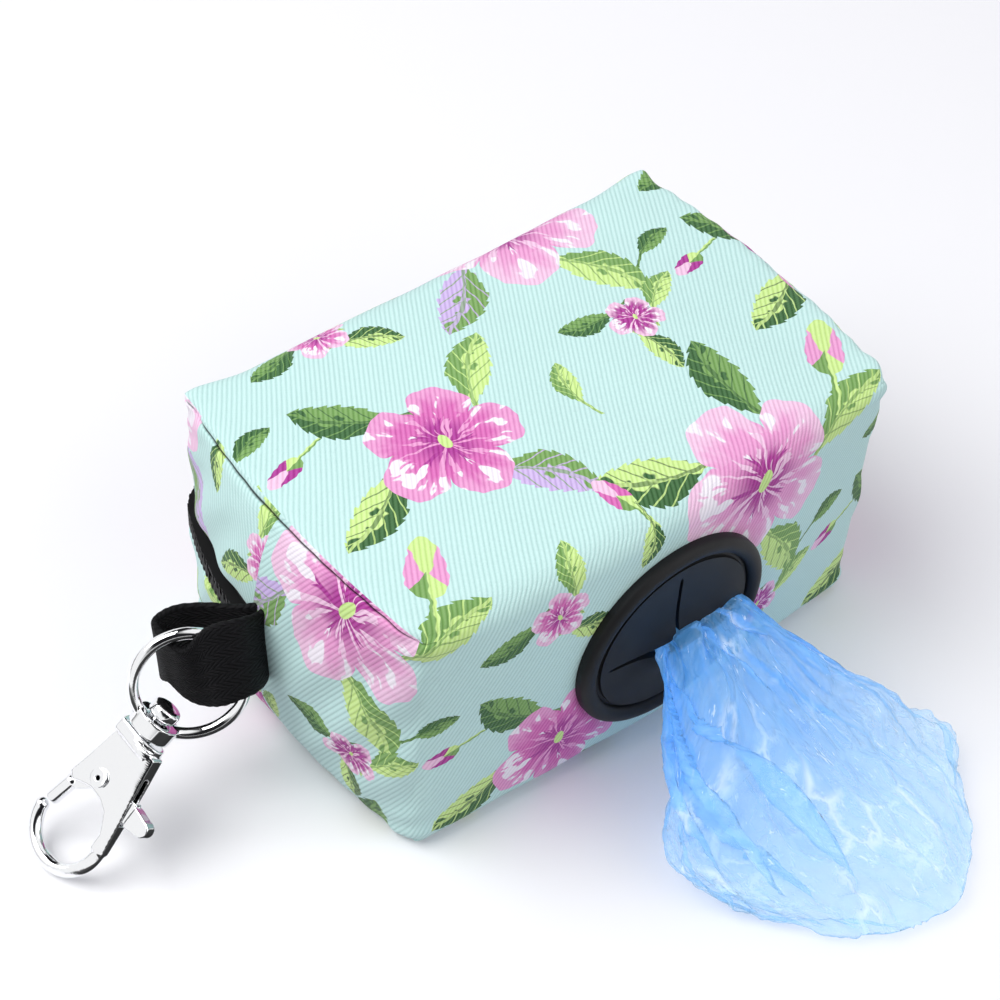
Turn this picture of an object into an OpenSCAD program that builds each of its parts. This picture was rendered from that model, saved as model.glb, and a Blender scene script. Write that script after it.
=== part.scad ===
// Waste bag dispenser: a boxed fabric pouch with a zip, a slit rubber grommet, a roll of bags
// inside, and a swivel trigger hook on a webbing loop.
// Origin: centre of the pouch's base. +X along the pouch, -Y is the front face, +Z up.

/* [Pouch] */
// Length of the pouch between its vertical folds
pouch_l = 90; // [84:0.5:110]
// Depth of the pouch from front to back
pouch_w = 60; // [56:0.5:80]
// Height of the pouch
pouch_h = 50; // [48:0.5:64]
// How far the middle of each end swells out
end_bulge = 7.5; // [3:0.5:10]
// How far the middle of the front swells out
front_bulge = 3.6; // [1:0.2:6]
// How far the top swells up
top_crown = 1.5; // [0.4:0.1:3]
// How far the top and bottom end seams bow out
seam_bow = 2; // [0.5:0.5:4]
// Radius of the soft folds
fold_r = 4; // [3.6:0.2:6]
// Thickness of the printed twill with its backing
shell_t = 1.2; // [0.8:0.1:1.5]
// Thickness of the foam interlining
foam_t = 1.6; // [1:0.1:2]
// Thickness of the lining
lining_t = 0.5; // [0.4:0.1:0.8]

/* [Zip] */
// Height of the zip's centre line above the base
zip_z = 26.5; // [22:0.5:30]
// Gap between the two fabric edges that show the tapes
zip_gap = 9.2; // [8.6:0.2:11]
// Width of each tape
tape_w = 8; // [7:0.5:10]
// Thickness of each tape
tape_t = 0.7; // [0.4:0.1:0.9]
// Distance between neighbouring teeth of one coil
tooth_pitch = 1.25; // [1.2:0.05:1.6]
// Width of one tooth along the zip
tooth_w = 0.5; // [0.3:0.05:0.5]
// Length of the slider's body
slider_l = 9; // [8:0.5:11]
// Length of the stop clips at the slider's closed end
stop_l = 1.6; // [1.2:0.1:2.4]
// Length of the pull from its hinge to its tip
pull_l = 22; // [14:1:28]
// Width of the pull
pull_w = 6; // [5:0.5:8]

/* [Grommet] */
// Outer diameter of the rubber grommet
grommet_d = 36; // [32:0.5:38]
// Diameter of the slit membrane
membrane_d = 29; // [26:0.5:30]
// Thickness of the membrane
membrane_t = 1.2; // [0.8:0.1:1.6]
// Width of the rim's bead in front of the fabric
rim_t = 2.2; // [1.6:0.1:3]
// Length of each of the four slits from the centre
slit_l = 13.4; // [9:0.2:13.4]
// Width of a closed slit
slit_w = 0.5; // [0.4:0.1:0.8]

/* [Bag roll] */
// Outer diameter of the full roll
roll_d = 34; // [26:0.5:36]
// Length of the roll, which is the folded width of one bag
roll_l = 58; // [50:1:64]
// Outer diameter of the core
core_d = 14; // [12:0.5:18]
// Wall of the core
core_t = 1; // [0.6:0.1:1.5]
// Thickness of the film's last turn, which leaves a small step
film_step = 0.3; // [0.2:0.1:0.6]
// Diameter of the gathered bag where it passes through the grommet
neck_d = 9; // [6:0.5:10]
// How far the bag lies out in front of the pouch
tail_l = 50; // [40:1:60]

/* [Webbing] */
// Width of the webbing at the seam
web_w = 17; // [14:0.5:19]
// Thickness of the webbing
web_t = 1.2; // [0.9:0.1:1.4]
// How far the loop stands out from the end seam
web_l = 14; // [13:0.5:16]
// Height of the webbing's middle above the base
web_z = 25.5; // [22:0.5:30]

/* [Swivel hook] */
// Outer diameter of the round eye
eye_d = 18.6; // [18:0.1:20]
// Diameter of the eye's wire
eye_wire = 1.9; // [1.7:0.1:2.1]
// Diameter of the swivel hub
hub_d = 7.3; // [6.5:0.1:8]
// Length of the swivel hub
hub_l = 2.7; // [2.4:0.1:3]
// Diameter of the swivel rivet's shank
stud_d = 2.7; // [2.2:0.1:3.2]
// Diameter of the swivel rivet's head
stud_head_d = 4.8; // [4.2:0.1:5.4]
// Width of the hook's collar
collar_d = 8.4; // [7.6:0.1:9]
// Thickness of the hook's body
hook_t = 4; // [3.8:0.1:4.6]
// Radius of the hook's bend at the middle of its wire
bend_r = 6.35; // [6:0.05:7]
// Diameter of the hook's bent arm
arm_d = 2.3; // [2:0.1:2.6]
// Thickness of the gate plate
gate_t = 1.5; // [1.2:0.1:1.6]
// Diameter of the gate's rivet
pin_d = 1.5; // [1.2:0.1:1.8]

/* [Hidden] */

$fn = 48;
far = 200;             // longer than anything it cuts
skin_gap = 0.05;       // air between two layers that are sewn together
fit_gap = 0.3;         // air between pieces of different bodies
running = 0.06;        // radial clearance of a rivet in its bore
half_l = pouch_l / 2;
half_w = pouch_w / 2;
side_steps = 8;        // straight pieces along one bowed side
fold_steps = 4;        // straight pieces round one fold

// ---- layers of the pouch, counted inwards from the outside
tape_in = shell_t + skin_gap;
foam_in = shell_t + skin_gap;
lining_in = foam_in + foam_t + skin_gap;
wall_t = lining_in + lining_t;

// ---- zip
coil_h = 1.9;                          // width of one coil
coil_proud = 0.5;                      // how far the coil stands out of the fabric
coil_rail = 0.9;                       // solid part of the coil, beside its teeth
tooth_cross = 0.7;                     // how far a tooth reaches across the zip's centre line
tape_face = half_w - tape_in;          // outer face of the tape on the back
coil_top = half_w + coil_proud;        // outer face of the coil on the back
seam_y = 1.2;                          // where the zip disappears in the end seams
stop_w = 1.8;                          // width of the bottom stop
stop_lead = 2.2;                       // from the seam to the bottom stop's middle
stop_y = seam_y + stop_lead;
tape_gap = 0.9;                        // from the zip's centre line to each tape's edge
stop_x = half_l - fold_r - stop_l - 0.2;
slider_x = stop_x - fit_gap - slider_l / 2;    // the closed slider stands against its stops
wedge_w = 1.1;                         // the slider's wedge, which parts the coils
plate_t = 1.1;                         // slider plates
flange_drop = 1.5;                     // how far the flanges reach down from the upper plate
slider_top = coil_top + fit_gap;       // underside of the slider's upper plate
slider_foot = tape_face - tape_t - fit_gap;
part_w = 1.15;                         // how far the wedge pushes each coil aside
flange_t = 0.9;
slider_half = coil_h + fit_gap + flange_t;
bail_w = 1.3;
bail_gap = 2;                          // room for the pull's bar under the bail
bar_d = 1.2;
pull_y = slider_top + plate_t + bail_gap / 2;

// ---- grommet
front_y = -(half_w + front_bulge);     // outermost line of the front
grommet_z = pouch_h / 2;
hole_d = membrane_d + 2.4;             // hole in the fabric, which the grommet's waist fills
waist_t = wall_t + 2 * skin_gap;       // the rim and the back flange clamp the wall
// the rim presses the bulging front flat, though never through the twill
seat_in = min(front_bulge * pow(grommet_d / 2 / half_l, 2), shell_t / 2);
seat_y = front_y + seat_in;            // back face of the rim

// ---- roll and bag
roll_z = wall_t + fit_gap + roll_d / 2;
neck_x = 3;
neck_z = grommet_z - 2;
neck_end_y = -(roll_d / 2 + fit_gap + 0.6);

// ---- swivel hook: its own frame has X along the hook from the hub, Y towards the thumb tab
hook_drop = 42.8;                      // how far the hook points down
hook_yaw = 188.8;                      // its heading
hook_skew = 9.9;                       // the swivel's line meets the hook's spine at this angle
eye_turn = -48.5;                      // the eye stands turned on the swivel
eye_r = (eye_d - eye_wire) / 2;
web_x = half_l + end_bulge;            // end seam that the webbing is sewn into
web_y = 0.75;                          // each strand's place beside the seam
eye_share = 0.871;                     // the eye's middle stands at this share of the loop's reach
eye_pos = [-(web_x + eye_share * web_l), -0.3, web_z - 0.1];
hook_pos = eye_pos + eye_r * [
    cos(hook_drop) * cos(hook_yaw) * cos(hook_skew) + sin(hook_yaw) * sin(hook_skew),
    cos(hook_drop) * sin(hook_yaw) * cos(hook_skew) - cos(hook_yaw) * sin(hook_skew),
    -sin(hook_drop) * cos(hook_skew)];
stud_bore = stud_d / 2 + running;
collar_x = hub_l / 2 + 0.6;
collar_l = 2.2;
bend_pos = [20.6, -2.75];
gate_pos = [11.1, -1.9];
nose_turn = 178;                       // how far the arm bends round, to the nose
flare_x = 9;                           // where the cheeks start to grow thinner
throat_lip = 0.08;                     // the shank's end stands this much proud of the arm
cheek_taper = atan((hook_t / 2 - arm_d / 2 - throat_lip) / (bend_pos[0] - flare_x));
slot_t = gate_t + 0.3;
gate_bore = pin_d / 2 + running;

// ============================================================ shapes of the pouch

// One side of a rounded rectangle from its fold to the next fold, then the fold itself
function corner_arc(cx, cy, r, a0) =
    [for (i = [0:fold_steps]) let (a = a0 + 90 * i / fold_steps) [cx + r * cos(a), cy + r * sin(a)]];

function side_points(p, q) =
    [for (i = [1:side_steps - 1]) p + (q - p) * i / side_steps];

// Rounded rectangle about the origin, with points along its sides
function rounded_outline(hx, hy, r) =
    let (a = corner_arc(hx - r, hy - r, r, 0),
         b = corner_arc(r - hx, hy - r, r, 90),
         c = corner_arc(r - hx, r - hy, r, 180),
         d = corner_arc(hx - r, r - hy, r, 270))
    concat(a, side_points(a[fold_steps], b[0]), b, side_points(b[fold_steps], c[0]),
           c, side_points(c[fold_steps], d[0]), d, side_points(d[fold_steps], a[0]));

// The same outline with its sides swollen: out by bx at both ends, by up and down on the others
function bowed_outline(hx, hy, r, bx, up, down) =
    [for (p = rounded_outline(hx, hy, r))
        [p[0] * (1 + bx / hx * (1 - pow(p[1] / hy, 2))),
         p[1] * (1 + (p[1] > 0 ? up : down) / hy * (1 - pow(p[0] / hx, 2)))]];

// The pouch's outer form, made smaller all round by "inset"
module pillow(inset) {
    hx = half_l - inset;
    hy = half_w - inset;
    hz = pouch_h / 2 - inset;
    r = max(fold_r - inset, 0.6);
    intersection() {
        translate([0, 0, -far / 2])
            linear_extrude(far)
                polygon(bowed_outline(hx, hy, r, end_bulge, 0, front_bulge));
        translate([0, far / 2, pouch_h / 2])
            rotate([90, 0, 0])
                linear_extrude(far)
                    polygon(bowed_outline(hx + seam_bow, hz, r, end_bulge - seam_bow, top_crown, 0));
        translate([-far / 2, -front_bulge / 2, pouch_h / 2])
            rotate([90, 0, 90])
                linear_extrude(far)
                    polygon(bowed_outline(hy + front_bulge / 2, hz, r, 0, top_crown, 0));
    }
}

// A layer of the pouch's wall between two depths
module layer(outer, inner) {
    difference() {
        pillow(outer);
        pillow(inner);
    }
}

// The band on the back and round both ends that the zip runs in
module zip_band(z0, z1, from_y) {
    translate([-far / 2, from_y, zip_z + z0])
        cube([far, far, z1 - z0]);
}

// Round hole through the front wall
module front_hole(d) {
    translate([0, 0, grommet_z])
        rotate([90, 0, 0])
            cylinder(h = far, d = d);
}

// Where the grommet's rim presses the front flat
module grommet_seat() {
    translate([0, seat_y, grommet_z])
        rotate([90, 0, 0])
            cylinder(h = rim_t, d = grommet_d + 2 * fit_gap);
}

// Opening in the end seam that both ends of the webbing are sewn into
module web_slot() {
    half = web_y + web_t + skin_gap;
    translate([-far - half_l, -half, web_z - web_w / 2 - skin_gap])
        cube([far, 2 * half, web_w + 2 * skin_gap]);
}

module outer_shell() {
    color("paleturquoise")
        difference() {
            layer(0, shell_t);
            zip_band(-zip_gap / 2, zip_gap / 2, seam_y);
            front_hole(hole_d);
            grommet_seat();
            web_slot();
        }
}

module foam_interlining() {
    color("white")
        difference() {
            layer(foam_in, foam_in + foam_t);
            zip_band(-tape_w - fit_gap, tape_w + fit_gap, seam_y - fit_gap);
            front_hole(hole_d);
        }
}

module lining() {
    color("lightgrey")
        difference() {
            layer(lining_in, wall_t);
            zip_band(-tape_w - fit_gap, tape_w + fit_gap, seam_y - fit_gap);
            front_hole(hole_d);
        }
}

// ============================================================ zip

module zip_tape(side) {
    low = side > 0 ? tape_gap : -tape_w;
    color("black")
        intersection() {
            layer(tape_in, tape_in + tape_t);
            zip_band(low, low + tape_w - tape_gap, seam_y);
        }
}

module zip_tape_upper() {
    zip_tape(1);
}

module zip_tape_lower() {
    zip_tape(-1);
}

// Plan of the coil's run: along the back from the slider, round the fold and on to the end
coil_inset = tape_in / 2 - coil_proud;
coil_depth = tape_in + coil_proud - skin_gap;
coil_start = slider_x - slider_l / 2;
coil_fold_r = fold_r - coil_inset;
fold_x = -(half_l - fold_r);
fold_y = half_w - fold_r;
back_count = floor((coil_start - fold_x) / tooth_pitch);
fold_count = floor(coil_fold_r * PI / 2 / tooth_pitch);
end_count = floor((fold_y - stop_y - stop_w) / tooth_pitch);

// Place and heading of a tooth: k counts along the back, the fold and the end in turn
function bowed_x(x, y) = x * (1 + end_bulge / half_l * (1 - pow(y / half_w, 2)));
function end_x(y) = bowed_x(coil_inset - half_l, y);
function end_lean(y) = atan(2 * end_bulge * y / (half_w * half_w));
function tooth_place(k) =
    k < back_count
    ? [coil_start - (k + 0.5) * tooth_pitch, half_w - coil_inset, 0]
    : k < back_count + fold_count
    ? let (a = 90 * (k - back_count + 0.5) / fold_count, y = fold_y + coil_fold_r * cos(a))
      [bowed_x(fold_x - coil_fold_r * sin(a), y), y, a * (1 - end_lean(fold_y) / 90)]
    : let (y = fold_y - (k - back_count - fold_count + 0.5) * tooth_pitch)
      [end_x(y), y, 90 - end_lean(y)];

// One tooth reaches across the centre line between two teeth of the other coil
module tooth(place, side) {
    reach = coil_h + tooth_cross;
    translate([place[0], place[1], zip_z + (side > 0 ? -tooth_cross : -coil_h)])
        rotate([0, 0, place[2]])
            translate([-tooth_w / 2, -coil_depth / 2 + 0.5, 0])
                cube([tooth_w, coil_depth - 0.6, reach]);
}

module zip_coil(side) {
    low = side > 0 ? coil_h - coil_rail : -coil_h;
    shift = side > 0 ? 0 : 0.5;
    color([0.12, 0.12, 0.13]) {
        intersection() {
            layer(-coil_proud, tape_in - skin_gap);
            zip_band(low, low + coil_rail, stop_y + stop_w / 2 + skin_gap);
            translate([coil_start - far, 0, 0])
                cube([far, far, far]);
        }
        for (k = [0:back_count + fold_count + end_count - 2])
            tooth(tooth_place(k + shift), side);
        parted_coil(side);
    }
}

// Beyond the slider's wedge the coil stands apart from the other one
module parted_coil(side) {
    lead = slider_l / 2 + 1;
    z0 = side > 0 ? zip_z + part_w : zip_z - part_w - coil_rail;
    step_z = side > 0 ? zip_z + coil_h - coil_rail : zip_z - coil_h;
    run = stop_x - skin_gap - slider_x;
    translate([slider_x, tape_face + skin_gap, z0])
        cube([run, coil_top - tape_face - skin_gap, coil_rail]);
    translate([coil_start - 0.01, tape_face + skin_gap, step_z])
        cube([lead, coil_top - tape_face - skin_gap, coil_rail]);
}

module zip_coil_upper() {
    zip_coil(1);
}

module zip_coil_lower() {
    zip_coil(-1);
}

// A clip folded round the tape's edge
module stop_clip(side) {
    w = 2.4;
    leaf = 0.6;
    edge = tape_gap - skin_gap;
    translate([stop_x, 0, zip_z])
        mirror([0, 0, side > 0 ? 0 : 1])
            difference() {
                translate([0, tape_face - tape_t - leaf, edge - leaf])
                    cube([stop_l, coil_top - tape_face + tape_t + leaf, w]);
                translate([-1, tape_face - tape_t - skin_gap, edge])
                    cube([stop_l + 2, tape_t + 2 * skin_gap, far]);
            }
}

module zip_top_stops() {
    color([0.1, 0.1, 0.1]) {
        stop_clip(1);
        stop_clip(-1);
    }
}

// A bar across both coils, with a web between the tapes
module zip_bottom_stop() {
    w = 2 * coil_h;
    leaf = 0.6;
    color([0.1, 0.1, 0.1])
        translate([end_x(stop_y) + coil_inset, stop_y, zip_z])
            rotate([0, 0, -end_lean(stop_y)])
                translate([-leaf, -stop_w / 2, 0]) {
                    translate([0, 0, -w / 2])
                        cube([leaf, stop_w, w]);
                    translate([0, 0, skin_gap - tape_gap])
                        cube([tape_in + tape_t + 0.8, stop_w, 2 * (tape_gap - skin_gap)]);
                }
}

// Two plates joined by a wedge, with flanges that steer the coils together
module zip_slider() {
    half = slider_half;
    nose = half + part_w;
    color([0.15, 0.15, 0.16])
        translate([slider_x, 0, zip_z]) {
            difference() {
                union() {
                    slider_plate(slider_top - flange_drop, plate_t + flange_drop, half, nose);
                    slider_plate(slider_foot - plate_t, plate_t, half, nose);
                }
                translate([0, slider_top - flange_drop - 1, 0])
                    slider_channel(flange_drop + 1, coil_h + fit_gap);
            }
            translate([wedge_w, slider_foot - 0.1, -wedge_w / 2])
                cube([slider_l / 2 - wedge_w, slider_top - slider_foot + 0.2, wedge_w]);
            bail();
        }
}

// Outline of a plate: narrow at the closed end, wide at the shoulders
module slider_outline(half, nose) {
    polygon([[-slider_l / 2, -half], [0, -half], [slider_l / 2 - 2, -nose], [slider_l / 2, -nose + 1],
             [slider_l / 2, nose - 1], [slider_l / 2 - 2, nose], [0, half], [-slider_l / 2, half]]);
}

module slider_plate(y, t, half, nose) {
    translate([0, y + t, 0])
        rotate([90, 0, 0])
            linear_extrude(t)
                slider_outline(half, nose);
}

module slider_channel(t, half) {
    translate([0, t, 0])
        rotate([90, 0, 0])
            linear_extrude(t)
                polygon([[-slider_l, -half], [0, -half], [slider_l / 2 - 2, -half - part_w],
                         [slider_l, -half - part_w], [slider_l, half + part_w],
                         [slider_l / 2 - 2, half + part_w], [0, half], [-slider_l, half]]);
}

// The bridge that holds the pull's bar
module bail() {
    h = bail_gap + 0.9;
    len = 6;
    translate([0, slider_top + plate_t - 0.1, 0])
        difference() {
            translate([-len / 2, 0, -bail_w / 2])
                cube([len, h + 0.1, bail_w]);
            translate([-len / 2 + 1, 0, -bail_w])
                cube([len - 2, bail_gap + 0.1, 2 * bail_w]);
        }
}

module zip_pull() {
    eye_out = 5.6;
    gap = bail_w / 2 + fit_gap;
    color([0.15, 0.15, 0.16])
        translate([slider_x, pull_y, zip_z]) {
            translate([0, 0, -2])
                cylinder(h = 4, d = bar_d);
            for (s = [-1, 1])
                translate([-eye_out, -bar_d / 2, s > 0 ? gap : -gap - 1.2])
                    cube([eye_out + bar_d / 2, bar_d, 1.2]);
            translate([-eye_out, bar_d / 2, 0])
                rotate([90, 0, 0])
                    linear_extrude(bar_d)
                        pull_outline(eye_out);
        }
}

// Tab with a rounded end and a hole
module pull_outline(eye_out) {
    r = pull_w / 2;
    difference() {
        union() {
            polygon([[0.7, -2.2], [0.7, 2.2], [-2, r], [-(pull_l - eye_out) + r, r],
                     [-(pull_l - eye_out) + r, -r], [-2, -r]]);
            translate([-(pull_l - eye_out) + r, 0])
                circle(r);
        }
        translate([-(pull_l - eye_out) + r, 0])
            circle(r * 0.45);
        translate([0.7, 0])
            square([2, 2 * (bail_w / 2 + fit_gap)], center = true);
    }
}

// ============================================================ webbing loop

// The strap's middle line from the front of the seam round the fold to its back: share of the
// loop's length, place across, rise, share of the width and lean. The eye pulls the front
// strand forward and cups it, and the strand passes through the eye to the fold.
web_run = [
    [-0.07, -web_y, 0, 1, 0],
    [0.09, -2.2, 0.5, 0.91, 8],
    [0.26, -5.6, 1.9, 0.74, 20],
    [0.41, -7.1, 2.8, 0.65, 26],
    [0.56, -6.2, 2.5, 0.62, 24],
    [0.68, -2.5, 1.2, 0.6, 14],
    [0.83, 0.5, -0.5, 0.58, 4],
    [0.92, 3.4, -0.9, 0.56, 0],
    [0.95, 5.4, -0.5, 0.66, 0],
    [0.92, 7.4, -0.1, 0.9, 0],
    [0.79, 8.8, 0, 0.95, 0],
    [0.58, 8.8, 0, 0.96, 0],
    [0.38, 7.2, 0, 0.98, 0],
    [0.21, 4.4, 0, 1, 0],
    [0.09, 1.8, 0, 1, 0],
    [-0.07, web_y, 0, 1, 0]];

function web_point(i) =
    [-web_x - web_run[i][0] * web_l, web_run[i][1], web_run[i][2] + web_z];
function web_heading(i) =
    let (a = web_point(max(i - 1, 0)), b = web_point(min(i + 1, len(web_run) - 1)))
    atan2(b[1] - a[1], b[0] - a[0]);

// Four corners of the strap's section at one station
function web_section(i) =
    let (p = web_point(i), a = web_heading(i), lean = web_run[i][4],
         side = [-sin(a), cos(a)],
         up = [0, sin(lean), cos(lean)] * web_w / 2 * web_run[i][3],
         n = [side[0], side[1] * cos(lean), -side[1] * sin(lean)] * web_t / 2)
    [p + n - up, p + n + up, p - n + up, p - n - up];

module webbing_loop() {
    n = len(web_run);
    color([0.08, 0.08, 0.08])
        polyhedron(
            points = [for (i = [0:n - 1]) for (p = web_section(i)) p],
            faces = concat(
                [[0, 1, 2, 3]],
                [for (i = [0:n - 2]) for (j = [0:3]) for (half = [0, 1])
                    let (a = 4 * i + j, b = 4 * i + (j + 1) % 4)
                    half == 0 ? [a, a + 4, b + 4] : [a, b + 4, b]],
                [[4 * n - 1, 4 * n - 2, 4 * n - 3, 4 * n - 4]]));
}

// ============================================================ grommet

// Half section: x is the radius, y runs from the front of the rim back into the pouch
module grommet_section() {
    ro = grommet_d / 2;
    rm = membrane_d / 2;
    rw = hole_d / 2 - skin_gap;
    back = rim_t + waist_t;
    flange = 1.2;                      // thickness of the flange behind the wall
    crown = 1.2;                       // depth of the rim's rounded front
    front = 0.6;                       // how far the membrane lies behind the rim's front
    groove = front + 0.5;              // bottom of the fine groove round the membrane
    behind = front + membrane_t;
    polygon(concat(
        [[0, front], [rm - 1.2, front], [rm - 0.8, groove], [rm - 0.2, groove], [rm, front / 2]],
        [for (i = [0:8]) let (a = 180 - 180 * i / 8)
            [(rm + ro) / 2 + (ro - rm) / 2 * cos(a), crown - crown * sin(a)]],
        [[ro, rim_t], [rw, rim_t], [rw, back], [ro - 1.5, back], [ro - 2, back + flange],
         [rm, back + flange], [rm, behind + 1], [rm - 1, behind], [0, behind]]));
}

module grommet() {
    color([0.1, 0.1, 0.1])
        difference() {
            translate([0, seat_y - rim_t, grommet_z])
                rotate([-90, 0, 0])
                    rotate_extrude($fn = 96)
                        grommet_section();
            for (a = [0:90:270])
                translate([0, seat_y - rim_t, grommet_z])
                    rotate([0, a, 0])
                        translate([0, 0, -slit_w / 2])
                            cube([slit_l, rim_t + waist_t, slit_w]);
            translate([neck_x, 0, neck_z])
                rotate([90, 0, 0])
                    cylinder(h = far, d = neck_d + 2 * fit_gap);
        }
}

// ============================================================ roll and bag

module roll_core() {
    color("burlywood")
        translate([-roll_l / 2 - 1, 0, roll_z])
            rotate([0, 90, 0])
                difference() {
                    cylinder(h = roll_l + 2, d = core_d);
                    translate([0, 0, -1])
                        cylinder(h = roll_l + 4, d = core_d - 2 * core_t);
                }
}

// The wound film: its last turn ends in a step
module bag_roll() {
    steps = 60;
    color("skyblue")
        translate([-roll_l / 2, 0, roll_z])
            rotate([0, 90, 0])
                linear_extrude(roll_l)
                    difference() {
                        polygon([for (i = [0:steps])
                            let (a = 360 * i / steps, r = roll_d / 2 - film_step * (1 - i / steps))
                            [r * cos(a), r * sin(a)]]);
                        circle(d = core_d + 2 * skin_gap);
                    }
}

// The first bag: gathered in the grommet, spread out in front of it
module bag_tail() {
    color([0.45, 0.7, 0.95, 0.8]) {
        translate([neck_x, neck_end_y, neck_z])
            rotate([90, 0, 0])
                cylinder(h = neck_end_y - bag_mouth_y() + 0.5, d = neck_d);
        hull() {
            translate([neck_x, bag_mouth_y(), neck_z])
                rotate([90, 0, 0])
                    cylinder(h = 2, d = neck_d - 0.6, $fn = 24);
            for (p = bag_puffs())
                translate([p[0], front_y - p[1] * tail_l, p[2]])
                    sphere(p[3], $fn = 16);
        }
    }
}

function bag_mouth_y() = front_y - rim_t - 0.4;
// Puffs of the bag: place across, share of its length, height and radius
function bag_puffs() = [
    [-8.5, 0.34, 6.2, 5], [-7, 0.72, 4.8, 4.3], [2, 0.88, 4.8, 4.3], [19, 0.9, 5.2, 4.7],
    [27.5, 0.72, 6, 5], [27, 0.4, 9, 5], [12, 0.2, 18, 6], [10, 0.55, 13, 6]];

// ============================================================ swivel trigger hook

module at_hook() {
    translate(hook_pos)
        rotate([0, hook_drop, hook_yaw])
            children();
}

// The swivel's line: the load runs along it from the hub to the middle of the bend
module on_swivel() {
    rotate([0, 0, -hook_skew])
        children();
}

module along_x(h, d) {
    rotate([0, 90, 0])
        cylinder(h = h, d = d);
}

module swivel_eye() {
    color("silver")
        at_hook()
            on_swivel() rotate([eye_turn, 0, 0])
                difference() {
                    union() {
                        translate([-eye_r, 0, 0])
                            rotate_extrude($fn = 72)
                                translate([eye_r, 0])
                                    circle(d = eye_wire, $fn = 24);
                        translate([-hub_l / 2, 0, 0])
                            along_x(hub_l, hub_d);
                    }
                    translate([-hub_l, 0, 0])
                        along_x(2 * hub_l, 2 * stud_bore);
                }
}

module swivel_rivet() {
    head_x = -hub_l / 2 - 0.35;
    head_l = 2;
    color("silver")
        at_hook() on_swivel() {
            translate([head_x, 0, 0])
                along_x(collar_x + collar_l - head_x, stud_d);
            translate([head_x - head_l, 0, 0])
                rotate([0, 90, 0])
                    rotate_extrude()
                        polygon([[0, 0], [stud_head_d / 2 - 0.5, 0], [stud_head_d / 2, 0.4],
                                 [stud_head_d / 2, head_l], [0, head_l]]);
        }
}

// Shank: a flat bell that flares towards the gate, straight along the spine
module shank_outline() {
    polygon([[collar_x + collar_l - 0.3, -collar_d / 2 + 0.3], [9, -5.5], [13.2, -7.1],
             [14.3, -6.2], [13.7, -4.5], [13.3, -2.6], [13.6, -0.4], [15, 1.5], [18, 2.75],
             [bend_pos[0], bend_pos[1] + bend_r - arm_d / 2 - throat_lip],
             [bend_pos[0], bend_pos[1] + bend_r + arm_d / 2 + throat_lip], [14, 4.6],
             [collar_x + collar_l - 0.3, collar_d / 2 - 0.2]]);
}

// Body of the hook: round collar, two cheeks round the gate, and the bent arm
module hook_body() {
    color("silver")
        at_hook()
            difference() {
                union() {
                    on_swivel()
                        translate([collar_x, 0, 0])
                            intersection() {
                                along_x(collar_l, collar_d);
                                cube([far, far, hook_t + 1], center = true);
                            }
                    hook_shank();
                    hook_bend();
                }
                on_swivel()
                    translate([-1, 0, 0])
                        along_x(collar_x + collar_l + 1.6, stud_d + 0.02);
                gate_slot();
                translate([gate_pos[0], gate_pos[1], -hook_t])
                    cylinder(h = 2 * hook_t, d = pin_d + 0.02);
            }
}

module hook_shank() {
    difference() {
        translate([0, 0, -hook_t / 2])
            linear_extrude(hook_t)
                shank_outline();
        for (turn = [0, 180])
            rotate([turn, 0, 0])
                translate([flare_x, -far / 2, hook_t / 2])
                    rotate([0, cheek_taper, 0])
                        cube([far, far, far]);
    }
}

// The bent arm, round in section, ends in a domed nose
module hook_bend() {
    translate([bend_pos[0], bend_pos[1], 0]) {
        rotate([0, 0, 90 - nose_turn])
            rotate_extrude(angle = nose_turn + 4, $fn = 72)
                translate([bend_r, 0])
                    circle(d = arm_d, $fn = 24);
        rotate([0, 0, 90 - nose_turn])
            translate([bend_r, 0, 0])
                rotate([90, 0, 0])
                    sphere(d = arm_d + 0.06, $fn = 24);
    }
}

// Slot in the middle of the shank, open to the gate side, the loop and the thumb side
module gate_slot() {
    translate([0, 0, -slot_t / 2])
        linear_extrude(slot_t)
            polygon([[7.4, -1.4], [7.4, far / 8], [15.2, far / 8], [15.2, 1], [19, 1], [19, -20],
                     [11, -20], [8.6, -3.6]]);
}

module gate_lever() {
    color("silver")
        at_hook()
            difference() {
                union() {
                    translate([0, 0, -gate_t / 2])
                        linear_extrude(gate_t)
                            gate_outline();
                    gate_bar();
                    thumb_tab();
                }
                translate([gate_pos[0], gate_pos[1], -hook_t])
                    cylinder(h = 2 * hook_t, r = gate_bore);
            }
}

// Bell crank about the rivet: one arm to the gate bar, one to the thumb tab
module gate_outline() {
    translate(gate_pos)
        circle(2.1);
    polygon([[10.2, -3.7], [13.2, -2.2], [15.4, -5.3], [15.2, -7], [14.6, -7.2], [13.9, -6.2]]);
    polygon([[9.3, -0.9], [10.9, 2.2], [10.9, 5.2], [14.6, 5.2], [14.4, 3.2], [12.8, -0.8]]);
}

// The bar that closes the mouth, between the shank's corner and the nose
module gate_bar() {
    from = [15, -6.75];
    to = [19.1, -8.15];
    turn = atan2(to[1] - from[1], to[0] - from[0]);
    run = norm(to - from);
    translate([from[0], from[1], 0])
        rotate([0, 0, turn]) {
            along_x(run, arm_d);
            rotate([0, 90, 0])
                sphere(d = arm_d);
        }
}

module thumb_tab() {
    thick = gate_t + 0.5;
    translate([0, 0, -thick / 2])
        linear_extrude(thick) {
            polygon([[11.2, 5.4], [14.8, 5.1], [14.6, 7.9], [11.9, 7.9]]);
            translate([13.25, 7.9])
                circle(1.35);
        }
}

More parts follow.
